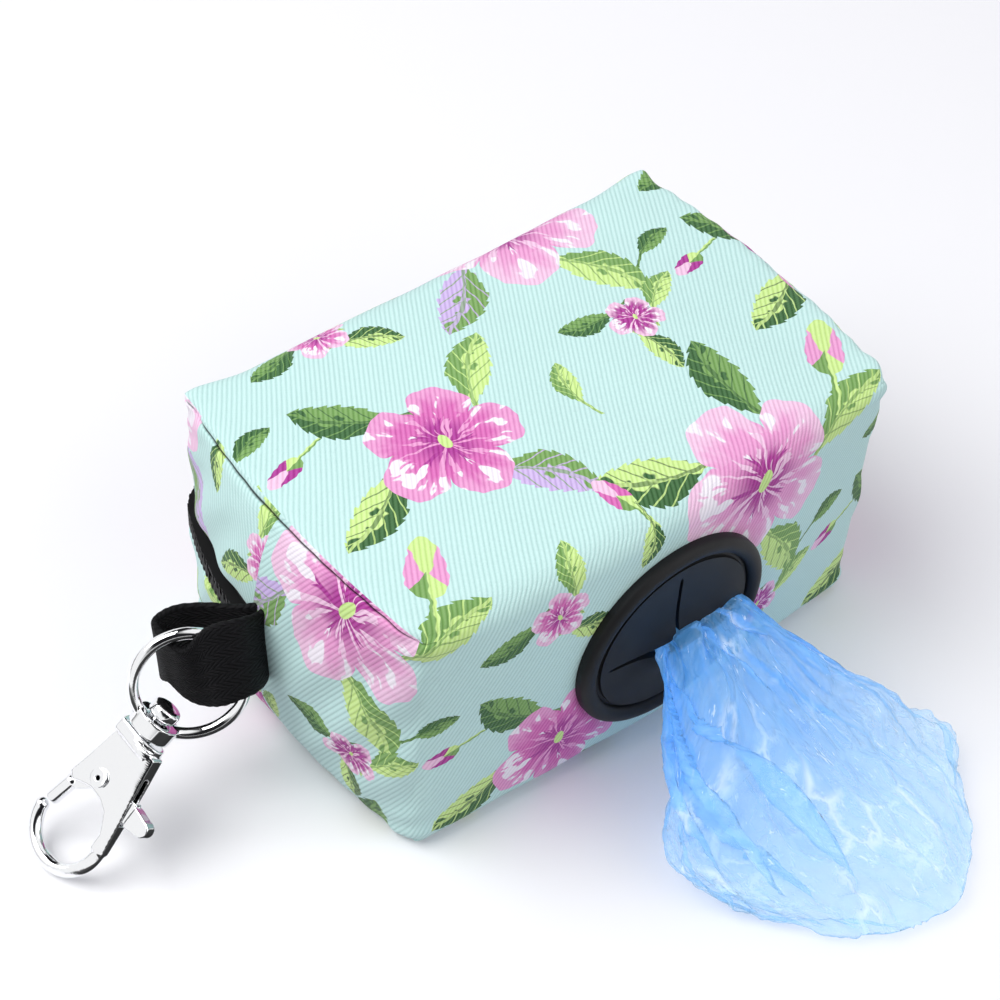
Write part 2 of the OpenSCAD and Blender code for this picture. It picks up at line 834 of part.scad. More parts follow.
// Tubular rivet with a rolled rim on both cheeks
module gate_rivet() {
    rim = 0.45;
    reach = hook_t + 0.2;
    color("silver")
        at_hook()
            translate([gate_pos[0], gate_pos[1], 0])
                difference() {
                    union() {
                        cylinder(h = reach, d = pin_d, center = true);
                        for (s = [-1, 1])
                            translate([0, 0, s * (rivet_face() + rim / 2 + 0.02)])
                                cylinder(h = rim, d = 2 * pin_d, center = true);
                    }
                    cylinder(h = far, d = pin_d * 0.5, center = true);
                }
}

// Half thickness of the tapered cheeks on the collar's side of the rivet
function rivet_face() = hook_t / 2 - max(gate_pos[0] - pin_d - flare_x, 0) * tan(cheek_taper);

// Compression spring between the slot's roof and the thumb arm
spring_wire = 0.3;
spring_turns = 4;
spring_sides = 6;
spring_steps = 12;     // rings in one turn
spring_seat = 7.45;    // roof of the slot
spring_run = 1.75;

// One ring of the spring's wire, at step k
function spring_ring(k) =
    let (a = 360 * k / spring_steps, r = (slot_t - 0.5 - spring_wire) / 2,
         x = spring_wire / 2 + (spring_run - spring_wire) * k / (spring_steps * spring_turns))
    [for (j = [0:spring_sides - 1]) let (b = 360 * j / spring_sides, q = r + spring_wire / 2 * cos(b))
        [x + spring_wire / 2 * sin(b), q * cos(a), q * sin(a)]];

module gate_spring() {
    n = spring_steps * spring_turns;
    m = spring_sides;
    color([0.7, 0.7, 0.72])
        at_hook()
            translate([spring_seat, 1.3, 0])
                polyhedron(
                    points = [for (k = [0:n]) for (p = spring_ring(k)) p],
                    faces = concat(
                        [[for (j = [0:m - 1]) m - 1 - j]],
                        [for (k = [0:n - 1]) for (j = [0:m - 1])
                            [m * k + j, m * k + (j + 1) % m, m * k + m + (j + 1) % m, m * k + m + j]],
                        [[for (j = [0:m - 1]) m * n + j]]));
}

outer_shell();
foam_interlining();
lining();
zip_tape_upper();
zip_tape_lower();
zip_coil_upper();
zip_coil_lower();
zip_top_stops();
zip_bottom_stop();
zip_slider();
zip_pull();
webbing_loop();
grommet();
roll_core();
bag_roll();
bag_tail();
swivel_eye();
swivel_rivet();
hook_body();
gate_lever();
gate_rivet();
gate_spring();
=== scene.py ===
"""Dresses the waste bag dispenser: printed twill pouch, coil zip, webbing, swivel hook, grommet, bags.

Every sub-assembly is a class that holds its sizes in millimetres, builds its meshes with bmesh
operators and gives them a finish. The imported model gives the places, and nothing else is read.
"""
from __future__ import annotations

import logging
import math
from dataclasses import dataclass
from enum import Enum
from typing import Callable, Sequence

import bmesh
import bpy
from mathutils import Matrix, Vector, noise


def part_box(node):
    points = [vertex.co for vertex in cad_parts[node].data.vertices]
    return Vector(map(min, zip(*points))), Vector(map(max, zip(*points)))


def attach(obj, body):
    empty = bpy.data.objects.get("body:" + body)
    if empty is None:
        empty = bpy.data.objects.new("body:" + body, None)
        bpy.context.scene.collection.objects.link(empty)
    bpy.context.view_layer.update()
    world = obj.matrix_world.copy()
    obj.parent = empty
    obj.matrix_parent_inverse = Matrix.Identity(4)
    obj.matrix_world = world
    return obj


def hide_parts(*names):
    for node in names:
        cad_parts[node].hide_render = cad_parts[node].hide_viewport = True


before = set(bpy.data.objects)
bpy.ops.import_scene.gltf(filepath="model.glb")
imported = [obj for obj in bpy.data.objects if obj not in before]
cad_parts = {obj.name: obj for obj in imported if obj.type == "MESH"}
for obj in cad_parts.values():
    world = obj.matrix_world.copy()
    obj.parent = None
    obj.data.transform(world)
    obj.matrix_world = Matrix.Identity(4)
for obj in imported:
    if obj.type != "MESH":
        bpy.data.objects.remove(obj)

LOG = logging.getLogger("dispenser")
MM = 0.001
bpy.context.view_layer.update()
ORIGIN = (0.0, 0.0, 0.0)

Socket = bpy.types.NodeSocket
Colour = tuple[float, float, float, float]


def ink(code: str) -> Colour:
    """Turns a hex colour, as a printer names it, into the linear values that a shader takes.

    Args:
        code: Six hex digits, red, green and blue.

    Returns:
        The colour with an alpha of 1.
    """
    parts = [int(code[i:i + 2], 16) / 255 for i in (0, 2, 4)]
    linear = [c / 12.92 if c <= 0.04045 else ((c + 0.055) / 1.055) ** 2.4 for c in parts]
    return (linear[0], linear[1], linear[2], 1.0)


class Ink(Enum):
    """Inks of the floral print."""

    GROUND = "c2eae4"
    PALE_PINK = "f6c6e4"
    PINK = "ec97cd"
    ROSE = "d95fb0"
    MAGENTA = "a8298c"
    LILAC = "cdb2e8"
    LIME = "cdf08a"
    GREEN = "6f9f4e"
    FOREST = "2f5c2c"
    WHITE = "fbf3fb"

    @property
    def linear(self) -> Colour:
        """The ink as linear values."""
        return ink(self.value)


# ------------------------------------------------------------------ node trees


class Term:
    """A value in a node tree, which is reckoned with like a number."""

    def __init__(self, graph: Graph, socket: Socket) -> None:
        """Wraps a socket."""
        self.graph = graph
        self.socket = socket

    def __add__(self, other: object) -> Term:
        """The sum."""
        return self.graph.math("ADD", self, other)

    def __sub__(self, other: object) -> Term:
        """The difference."""
        return self.graph.math("SUBTRACT", self, other)

    def __mul__(self, other: object) -> Term:
        """The product."""
        return self.graph.math("MULTIPLY", self, other)

    def __truediv__(self, other: object) -> Term:
        """The quotient."""
        return self.graph.math("DIVIDE", self, other)

    def __pow__(self, other: object) -> Term:
        """The power."""
        return self.graph.math("POWER", self, other)

    def __abs__(self) -> Term:
        """The size without its sign."""
        return self.graph.math("ABSOLUTE", self)

    def __lt__(self, other: object) -> Term:
        """1 where this is less, else 0."""
        return self.graph.math("LESS_THAN", self, other)

    def __gt__(self, other: object) -> Term:
        """1 where this is more, else 0."""
        return self.graph.math("GREATER_THAN", self, other)

    def __or__(self, other: object) -> Term:
        """The greater one, which joins two masks."""
        return self.graph.math("MAXIMUM", self, other)


class Graph:
    """A node tree with short ways to add nodes and join them."""

    def __init__(self, tree: bpy.types.NodeTree) -> None:
        """Wraps a tree."""
        self.tree = tree

    def fill(self, node: bpy.types.Node, values: dict) -> None:
        """Links or sets a node's inputs, by name or number."""
        for key, value in values.items():
            if isinstance(value, Term):
                self.tree.links.new(value.socket, node.inputs[key])
            else:
                node.inputs[key].default_value = value

    def node(self, kind: str, inputs: dict | None = None, **settings: object) -> bpy.types.Node:
        """Adds a node.

        Args:
            kind: The node's type name.
            inputs: Terms or values by input name or number.
            settings: Properties to set on the node first.

        Returns:
            The new node.
        """
        made = self.tree.nodes.new(kind)
        for name, value in settings.items():
            setattr(made, name, value)
        self.fill(made, inputs or {})
        return made

    def read(
        self, kind: str, inputs: dict | None = None, output: int | str = 0, **settings: object
    ) -> Term:
        """Adds a node and returns one of its outputs."""
        return Term(self, self.node(kind, inputs, **settings).outputs[output])

    def math(self, operation: str, *values: object) -> Term:
        """Adds a Math node and returns its result."""
        return self.read("ShaderNodeMath", dict(enumerate(values)), operation=operation)

    def vector(self, operation: str, *values: object, output: int | str = 0) -> Term:
        """Adds a Vector Math node and returns its result."""
        return self.read("ShaderNodeVectorMath", dict(enumerate(values)), output, operation=operation)

    def scaled(self, vector: Term, factor: object) -> Term:
        """Returns a vector times a factor."""
        return self.read("ShaderNodeVectorMath", {0: vector, "Scale": factor}, operation="SCALE")

    def mix(self, share: object, low: object, high: object) -> Term:
        """Returns a colour between two colours."""
        return self.read("ShaderNodeMix", {0: share, 6: low, 7: high}, 2, data_type="RGBA")

    def between(self, value: Term, low: float, high: float) -> Term:
        """Returns a value spread from 0..1 over low..high."""
        return self.math("MULTIPLY_ADD", value, high - low, low)

    def step(self, value: Term, start: float, end: float) -> Term:
        """Returns 0 before start, 1 past end and a smooth change between them."""
        inputs = {0: value, 1: start, 2: end}
        return self.read("ShaderNodeMapRange", inputs, interpolation_type="SMOOTHSTEP")

    def noise(
        self, vector: Term, scale: float, detail: float = 2.0, rough: float = 0.5, output: int = 0
    ) -> Term:
        """Returns a noise, as a value or with output 1 as a colour."""
        inputs = {"Vector": vector, "Scale": scale, "Detail": detail, "Roughness": rough}
        return self.read("ShaderNodeTexNoise", inputs, output)

    def apart(self, vector: Term) -> list[Term]:
        """Returns a vector's three parts."""
        made = self.node("ShaderNodeSeparateXYZ", {0: vector})
        return [Term(self, made.outputs[index]) for index in range(3)]

    def joined(self, x: object, y: object, z: object = 0.0) -> Term:
        """Returns a vector made of three parts."""
        return self.read("ShaderNodeCombineXYZ", {0: x, 1: y, 2: z})

    def group(self, tree: bpy.types.NodeTree, inputs: dict) -> dict[str, Term]:
        """Places a shader node group with its values and returns its outputs by name."""
        made = self.node("ShaderNodeGroup", inputs, node_tree=tree)
        return {output.name: Term(self, output) for output in made.outputs}

    def bump(self, height: Term, distance: float) -> Term:
        """Returns a normal that stands for a height field, with its full height in millimetres."""
        return self.read("ShaderNodeBump", {"Height": height, "Distance": distance * MM, "Strength": 1.0})

    def object_mm(self) -> Term:
        """Returns the object coordinates in millimetres."""
        return self.scaled(self.read("ShaderNodeTexCoord", output="Object"), 1 / MM)


def shader_group(
    name: str, inputs: dict[str, object], outputs: Sequence[str], build: Callable[[Graph, dict], dict]
) -> bpy.types.NodeTree:
    """Builds a shader node group.

    Args:
        name: The group's name.
        inputs: Default values by input name: a number, a 3-vector or a colour.
        outputs: Output names. Place is a vector, Colour a colour and any other a number.
        build: Makes the nodes from the input terms and returns the output terms.

    Returns:
        The group's tree.
    """
    tree = bpy.data.node_groups.new(name, "ShaderNodeTree")
    for label, value in inputs.items():
        size = len(value) if hasattr(value, "__len__") else 1
        kind = {1: "NodeSocketFloat", 3: "NodeSocketVector", 4: "NodeSocketColor"}[size]
        made = tree.interface.new_socket(name=label, in_out="INPUT", socket_type=kind)
        made.default_value = value
    kinds = {"Place": "NodeSocketVector", "Colour": "NodeSocketColor"}
    for label in outputs:
        kind = kinds.get(label, "NodeSocketFloat")
        tree.interface.new_socket(name=label, in_out="OUTPUT", socket_type=kind)
    graph = Graph(tree)
    start = tree.nodes.new("NodeGroupInput")
    results = build(graph, {label: Term(graph, start.outputs[label]) for label in inputs})
    graph.node("NodeGroupOutput", results)
    return tree


class Motif(Enum):
    """Printed motifs."""

    BLOSSOM = "blossom"
    LEAF = "leaf"
    BUD = "bud"


@dataclass(frozen=True)
class Stamp:
    """One motif of the print's repeat: its kind, place, turn in degrees, size in mm and inks."""

    kind: Motif
    x: float
    y: float
    turn: float
    size: float
    light: Ink
    dark: Ink


class Effects:
    """Shader node groups that several finishes share, built once."""

    def __init__(self) -> None:
        """Builds all the groups."""
        self.grain = self._grain()
        self.weave = self._weave()
        self.place = self._place()
        self.motifs = {
            Motif.BLOSSOM: self._blossom(),
            Motif.LEAF: self._leaf(),
            Motif.BUD: self._bud(),
        }

    def _grain(self) -> bpy.types.NodeTree:
        """Fine speckle with broad clouds behind it, for roughness and bump."""

        def build(g: Graph, given: dict[str, Term]) -> dict[str, Term]:
            """Makes two noises."""
            fine = g.noise(g.scaled(given["Place"], given["Fine"]), 1.0, 3.0, 0.6)
            broad = g.noise(g.scaled(given["Place"], given["Broad"]), 1.0, 1.0)
            return {"Fine": fine, "Broad": broad}

        inputs = {"Place": ORIGIN, "Fine": 4.0, "Broad": 0.3}
        return shader_group("Grain and clouds", inputs, ("Fine", "Broad"), build)

    def _weave(self) -> bpy.types.NodeTree:
        """Woven ribs: slanted lines crossed by single threads. Chevron folds the slant back."""
        thread_pitch, thread_height, rib_height = 0.52, 0.3, 0.7

        def build(g: Graph, given: dict[str, Term]) -> dict[str, Term]:
            """Works out the height of the threads."""
            along, across, _ = g.apart(given["Place"])
            slant = g.math("PINGPONG", across, given["Chevron"]) * given["Slant"] + along
            rib = g.math("SINE", g.math("FRACT", slant / given["Pitch"]) * math.pi)
            thread = g.math("FRACT", across / (given["Pitch"] * thread_pitch))
            knot = g.math("SINE", thread * math.pi)
            return {"Height": knot * thread_height + rib * rib_height, "Rib": rib}

        inputs = {"Place": ORIGIN, "Pitch": 0.87, "Slant": 0.6, "Chevron": 1000.0}
        return shader_group("Woven ribs", inputs, ("Height", "Rib"), build)

    def _place(self) -> bpy.types.NodeTree:
        """A motif's own coordinates in a repeating tile, 1 at its rim."""

        def build(g: Graph, given: dict[str, Term]) -> dict[str, Term]:
            """Centres, wraps, turns and scales."""
            moved = g.vector("SUBTRACT", given["Print"], given["Centre"])
            wrapped = g.vector("WRAP", moved, g.scaled(given["Tile"], 0.5), g.scaled(given["Tile"], -0.5))
            inputs = {"Vector": wrapped, "Angle": given["Turn"]}
            turned = g.read("ShaderNodeVectorRotate", inputs, rotation_type="Z_AXIS")
            return {"Place": g.scaled(turned, g.math("DIVIDE", 1.0, given["Size"]))}

        inputs = {
            "Print": ORIGIN, "Tile": (60.0, 60.0, 1.0), "Centre": ORIGIN, "Turn": 0.0, "Size": 5.0,
        }
        return shader_group("Motif place", inputs, ("Place",), build)

    def _blossom(self) -> bpy.types.NodeTree:
        """A double flower: five broad petals, five small ones turned between them, and an eye."""
        inner_size, eye_size, petal_waves, notch = 0.56, 0.1, 2.5, 0.42

        def petals(g: Graph, angle: Term, shift: float, size: float) -> tuple[Term, Term]:
            """Returns the petals' outline radius and how near a point is to a parting line."""
            wave = abs(g.math("COSINE", angle * petal_waves + shift))
            return wave ** 0.55 * (size * notch) + size * (1 - notch), wave

        def build(g: Graph, given: dict[str, Term]) -> dict[str, Term]:
            """Layers the petals."""
            wobble = g.vector("SUBTRACT", g.noise(given["Place"], 1.7, output=1), (0.5, 0.5, 0.5))
            x, y, _ = g.apart(g.vector("ADD", given["Place"], g.scaled(wobble, 0.34)))
            radius = g.math("SQRT", x * x + y * y)
            angle = g.math("ARCTAN2", y, x)
            strokes = g.noise(g.joined(angle * 3.0, radius * 1.6), 1.4)
            outer, part = petals(g, angle, 0.0, 1.0)
            inner, part_in = petals(g, angle, math.pi / 2, inner_size)
            colour = g.mix(g.step(radius / outer + strokes, 0.95, 1.45), given["Dark"], given["Light"])
            colour = g.mix(g.step(strokes, 0.57, 0.6), colour, Ink.WHITE.linear)
            edge = g.step(part, 0.22, 0.12) * g.step(radius, 0.86, 0.7)
            colour = g.mix(edge * 0.85, colour, given["Dark"])
            deep = g.mix(g.step(radius / inner, 0.35, 0.95), given["Deep"], given["Dark"])
            deep = g.mix(g.step(strokes, 0.53, 0.56), deep, given["Light"])
            deep = g.mix(g.step(part_in, 0.26, 0.14), deep, given["Deep"])
            colour = g.mix(radius < inner, colour, deep)
            colour = g.mix(radius < eye_size, colour, Ink.LIME.linear)
            return {"Colour": colour, "Mask": radius < outer}

        inputs = {
            "Place": ORIGIN, "Light": Ink.PALE_PINK.linear, "Dark": Ink.ROSE.linear,
            "Deep": Ink.MAGENTA.linear,
        }
        return shader_group("Blossom", inputs, ("Colour", "Mask"), build)

    def _leaf(self) -> bpy.types.NodeTree:
        """A pointed leaf with a stalk, one half darker than the other."""
        girth, bend, stalk_end, stalk_width, vein_pitch = 0.44, 0.16, -1.7, 0.06, 0.17

        def build(g: Graph, given: dict[str, Term]) -> dict[str, Term]:
            """Draws blade, veins and stalk."""
            wobble = g.noise(given["Place"], 1.9) - 0.5
            x, y, _ = g.apart(given["Place"])
            y = y + x * x * bend + wobble * 0.18
            side = abs(y)
            saw = g.math("FRACT", x * 4.0) * -0.07 + 0.03
            blade = (side < x * x * -girth + girth + saw) * (abs(x) < 1.0)
            vein = g.math("PINGPONG", side * -1.3 + x, vein_pitch)
            rib = (side < 0.035) | (vein < 0.022)
            half = g.step(y + wobble * 0.9, -0.02, 0.02)
            colour = g.mix(half, given["Light"], given["Dark"])
            colour = g.mix(rib * 0.75, colour, g.mix(half, given["Dark"], given["Light"]))
            stalk = (side < stalk_width) * (x < 0.0) * (x > stalk_end)
            return {"Colour": colour, "Mask": blade | stalk}

        inputs = {"Place": ORIGIN, "Light": Ink.LIME.linear, "Dark": Ink.FOREST.linear}
        return shader_group("Leaf", inputs, ("Colour", "Mask"), build)

    def _bud(self) -> bpy.types.NodeTree:
        """A closed bud in its calyx, on a short stalk."""
        girth, taper, calyx_end, stalk_end, stalk_width = 0.52, -0.12, -0.12, -2.4, 0.1

        def build(g: Graph, given: dict[str, Term]) -> dict[str, Term]:
            """Draws the drop, the calyx and the stalk."""
            wobble = g.noise(given["Place"], 2.2, 1.0) - 0.5
            x, y, _ = g.apart(given["Place"])
            y = y + wobble * 0.3
            side = abs(y)
            drop = x * x + (y / (x * taper + girth)) ** 2.0 < 1.0
            petal = g.step(side - x * 0.3, 0.1, 0.14)
            green = g.mix(g.step(y, -0.02, 0.02), Ink.LIME.linear, Ink.GREEN.linear)
            colour = g.mix(petal, given["Light"], given["Dark"])
            colour = g.mix(side * 1.1 + x < calyx_end, colour, green)
            colour = g.mix(x < -0.9, colour, green)
            stalk = (side < stalk_width) * (x < -0.5) * (x > stalk_end)
            return {"Colour": colour, "Mask": drop | stalk}

        inputs = {"Place": ORIGIN, "Light": Ink.PALE_PINK.linear, "Dark": Ink.ROSE.linear}
        return shader_group("Bud", inputs, ("Colour", "Mask"), build)


# ------------------------------------------------------------------ finishes


@dataclass(frozen=True)
class Finish:
    """A procedural material. Sub-classes draw its colour, roughness and normal."""

    name: str

    def draw(self, g: Graph, shader: bpy.types.Node, effects: Effects) -> None:
        """Joins the finish's nodes to the shader."""
        raise NotImplementedError

    def make(self, effects: Effects) -> bpy.types.Material:
        """Builds the material.

        Args:
            effects: The shared node groups.

        Returns:
            The material, ready to assign.
        """
        material = bpy.data.materials.new(self.name)
        material.use_nodes = True
        shader = material.node_tree.nodes["Principled BSDF"]
        self.draw(Graph(material.node_tree), shader, effects)
        return material


def leaf(
    x: float, y: float, turn: float, size: float, light: Ink = Ink.LIME, dark: Ink = Ink.FOREST
) -> Stamp:
    """A leaf of the print, which points along its turn."""
    return Stamp(Motif.LEAF, x, y, turn, size, light, dark)


def bud(
    x: float, y: float, turn: float, size: float, light: Ink = Ink.PALE_PINK, dark: Ink = Ink.ROSE
) -> Stamp:
    """A bud of the print, which points along its turn."""
    return Stamp(Motif.BUD, x, y, turn, size, light, dark)


def spray(
    x: float, y: float, size: float, leaves: Sequence[float], leaf_size: float,
    light: Ink = Ink.PALE_PINK, dark: Ink = Ink.PINK,
) -> tuple[Stamp, ...]:
    """A blossom over leaves that stand out round it.

    Args:
        x: The blossom's place along the cloth.
        y: Its place across the cloth.
        size: Its radius.
        leaves: The directions of the leaves in degrees.
        leaf_size: Half the length of a leaf.
        light: Ink of the petals' rims.
        dark: Ink of the petals' hearts.

    Returns:
        The stamps, the leaves first.
    """
    inks = (
        (Ink.LIME, Ink.GREEN), (Ink.GREEN, Ink.FOREST), (Ink.LIME, Ink.FOREST), (Ink.LILAC, Ink.GREEN),
    )
    reach = size * 0.8 + leaf_size * 0.8
    stamps = []
    for index, turn in enumerate(leaves):
        angle = math.radians(turn)
        spot = (x + reach * math.cos(angle), y + reach * math.sin(angle))
        stamps.append(leaf(*spot, turn + 12, leaf_size, *inks[index % len(inks)]))
    return (*stamps, Stamp(Motif.BLOSSOM, x, y, leaves[0] + 20, size, light, dark))


@dataclass(frozen=True)
class PrintedTwill(Finish):
    """Twill with a repeating print of blossoms, leaves and buds. The map "print" is in millimetres."""

    tile: tuple[float, float] = (76.0, 66.0)
    line_pitch: float = 0.85
    line_slant: float = -0.6
    line_depth: float = 0.09
    line_shade: float = 0.16
    wear: float = 0.42
    seam_shade: float = 0.08
    stamps: tuple[Stamp, ...] = (
        *spray(17, 21, 15.5, (12, 75, 150, 215, 290), 8.8),
        *spray(56, 53, 12.0, (40, 128, 200, 305), 8.0, Ink.PINK, Ink.ROSE),
        *spray(54, 17, 5.2, (70, 190, 320), 5.4, Ink.PALE_PINK, Ink.ROSE),
        *spray(20, 57, 4.8, (25, 160, 265), 5.0, Ink.PALE_PINK, Ink.MAGENTA),
        bud(40, 36, 60, 5.6, Ink.LIME, Ink.PINK), bud(70, 32, 110, 3.4), leaf(71, 22, 250, 4.4),
        bud(35, 62, 200, 3.2, Ink.PALE_PINK, Ink.MAGENTA), leaf(2, 52, 80, 4.6, Ink.LIME, Ink.GREEN),
        leaf(34, 4, 20, 4.0, Ink.GREEN, Ink.FOREST),
    )

    def _print(self, g: Graph, effects: Effects, place: Term) -> Term:
        """Lays all the stamps over the ground and returns the colour."""
        colour: object = Ink.GROUND.linear
        for stamp in self.stamps:
            spot = g.group(effects.place, {
                "Print": place, "Tile": (*self.tile, 1.0), "Centre": (stamp.x, stamp.y, 0.0),
                "Turn": math.radians(-stamp.turn), "Size": stamp.size,
            })["Place"]
            inputs = {"Place": spot, "Light": stamp.light.linear, "Dark": stamp.dark.linear}
            made = g.group(effects.motifs[stamp.kind], inputs)
            colour = g.mix(made["Mask"], colour, made["Colour"])
        return colour

    def draw(self, g: Graph, shader: bpy.types.Node, effects: Effects) -> None:
        """Prints the pattern and weaves the twill."""
        place = g.read("ShaderNodeUVMap", uv_map="print")
        seam = g.read("ShaderNodeAttribute", output="Fac", attribute_name="seam")
        positive = g.vector("ADD", place, (500.0, 500.0, 0.0))
        inputs = {"Place": positive, "Pitch": self.line_pitch, "Slant": self.line_slant}
        ribs = g.group(effects.weave, inputs)
        clouds = g.group(effects.grain, {"Place": place, "Fine": 2.2, "Broad": 0.08})
        colour = self._print(g, effects, place)
        pale = g.read("ShaderNodeGamma", {"Color": colour, "Gamma": 0.55})
        worn = g.mix(ribs["Rib"] * self.wear, colour, pale)
        # painted shade: darker in the grooves between the ribs, and, through seam_shade, in the crease of
        # the seam
        shade = ribs["Rib"] * self.line_shade + (1 - self.line_shade) + clouds["Fine"] * 0.08
        shade = shade * g.between(g.step(seam, 0.04, 0.3), self.seam_shade, 1.0)
        g.fill(shader, {
            "Base Color": g.read("ShaderNodeHueSaturation", {"Value": shade, "Color": worn}),
            "Roughness": g.between(clouds["Broad"], 0.68, 0.86),
            "Sheen Weight": 0.18, "Sheen Roughness": 0.45, "Specular IOR Level": 0.25,
            "Normal": g.bump(ribs["Height"], self.line_depth),
        })


@dataclass(frozen=True)
class PlainWeave(Finish):
    """Plain or ribbed cloth on the object's own coordinates."""

    colour: str
    pitch: float
    depth: float = 0.08
    roughness: float = 0.85

    def draw(self, g: Graph, shader: bpy.types.Node, effects: Effects) -> None:
        """Weaves ribs that run level round the pouch."""
        x, y, z = g.apart(g.object_mm())
        place = g.joined(z, x + y)
        ribs = g.group(effects.weave, {"Place": place, "Pitch": self.pitch, "Slant": 0.0})
        clouds = g.group(effects.grain, {"Place": place, "Fine": 3.0, "Broad": 0.2})
        base = ink(self.colour)
        light = tuple(min(1.0, c * 1.5 + 0.012) for c in base[:3]) + (1.0,)
        g.fill(shader, {
            "Base Color": g.mix(ribs["Height"] * clouds["Fine"], base, light),
            "Roughness": g.between(clouds["Broad"], self.roughness - 0.1, self.roughness),
            "Normal": g.bump(ribs["Height"], self.depth),
        })


@dataclass(frozen=True)
class HerringboneWebbing(Finish):
    """Black webbing in a herringbone weave. The map "strap" is in millimetres, along and across."""

    pitch: float = 1.1
    slant: float = 1.3
    column: float = 1.6
    depth: float = 0.16

    def draw(self, g: Graph, shader: bpy.types.Node, effects: Effects) -> None:
        """Folds the weave's slant into chevrons."""
        place = g.read("ShaderNodeUVMap", uv_map="strap")
        inputs = {"Place": place, "Pitch": self.pitch, "Slant": self.slant, "Chevron": self.column}
        ribs = g.group(effects.weave, inputs)
        clouds = g.group(effects.grain, {"Place": place, "Fine": 3.5, "Broad": 0.25})
        g.fill(shader, {
            "Base Color": g.mix(ribs["Rib"] * clouds["Fine"], ink("060607"), ink("1f1f22")),
            "Roughness": g.between(clouds["Broad"], 0.6, 0.78),
            "Specular IOR Level": 0.14,
            "Normal": g.bump(ribs["Height"], self.depth),
        })


@dataclass(frozen=True)
class Moulded(Finish):
    """Moulded rubber, nylon, board or foam: one tone with grain in its colour, gloss and surface."""

    dark: str
    light: str
    roughness: float
    spread: float = 0.12
    fine: float = 5.0
    depth: float = 0.02
    specular: float = 0.28

    def draw(self, g: Graph, shader: bpy.types.Node, effects: Effects) -> None:
        """Speckles the tone."""
        grain = g.group(effects.grain, {"Place": g.object_mm(), "Fine": self.fine, "Broad": 0.16})
        low = self.roughness - self.spread / 2
        g.fill(shader, {
            "Base Color": g.mix(grain["Fine"], ink(self.dark), ink(self.light)),
            "Roughness": g.between(grain["Broad"], low, low + self.spread),
            "Specular IOR Level": self.specular,
            "Normal": g.bump(grain["Fine"], self.depth),
        })


@dataclass(frozen=True)
class PolishedMetal(Finish):
    """Plated metal: mirror bright, with faint hairlines, clouds and a slightly wavy surface."""

    colour: str
    roughness: float
    wave: float = 0.03

    def draw(self, g: Graph, shader: bpy.types.Node, effects: Effects) -> None:
        """Varies the gloss and bends the mirror a little."""
        marks = g.group(effects.grain, {"Place": g.object_mm(), "Fine": 2.6, "Broad": 0.35})
        tone = g.mix(marks["Fine"], ink(self.colour), ink("ffffff"))
        g.fill(shader, {
            "Base Color": g.mix(0.25, ink(self.colour), tone),
            "Roughness": g.between(marks["Fine"], self.roughness * 0.6, self.roughness * 1.4),
            "Metallic": 1.0,
            "Normal": g.bump(marks["Broad"], self.wave),
        })


@dataclass(frozen=True)
class WoundFilm(Finish):
    """The wound roll: its ends show the edges of all the turns."""

    axis_height: float
    turn: float = 0.35
    depth: float = 0.12

    def draw(self, g: Graph, shader: bpy.types.Node, effects: Effects) -> None:
        """Draws rings round the core on the ends and faint creases on the outside."""
        x, y, z = g.apart(g.object_mm())
        radius = g.vector("LENGTH", g.joined(0.0, y, z - self.axis_height), output="Value")
        rings = g.math("SINE", radius * (math.tau / self.turn))
        stretched = g.joined(x * 0.12, y, z)
        marks = g.group(effects.grain, {"Place": stretched, "Fine": 1.6, "Broad": 0.2})
        g.fill(shader, {
            "Base Color": g.mix(marks["Fine"], ink("6fb0ea"), ink("b5dcfa")),
            "Roughness": g.between(marks["Broad"], 0.3, 0.45),
            "Normal": g.bump(rings * 0.3 + marks["Fine"], self.depth),
        })


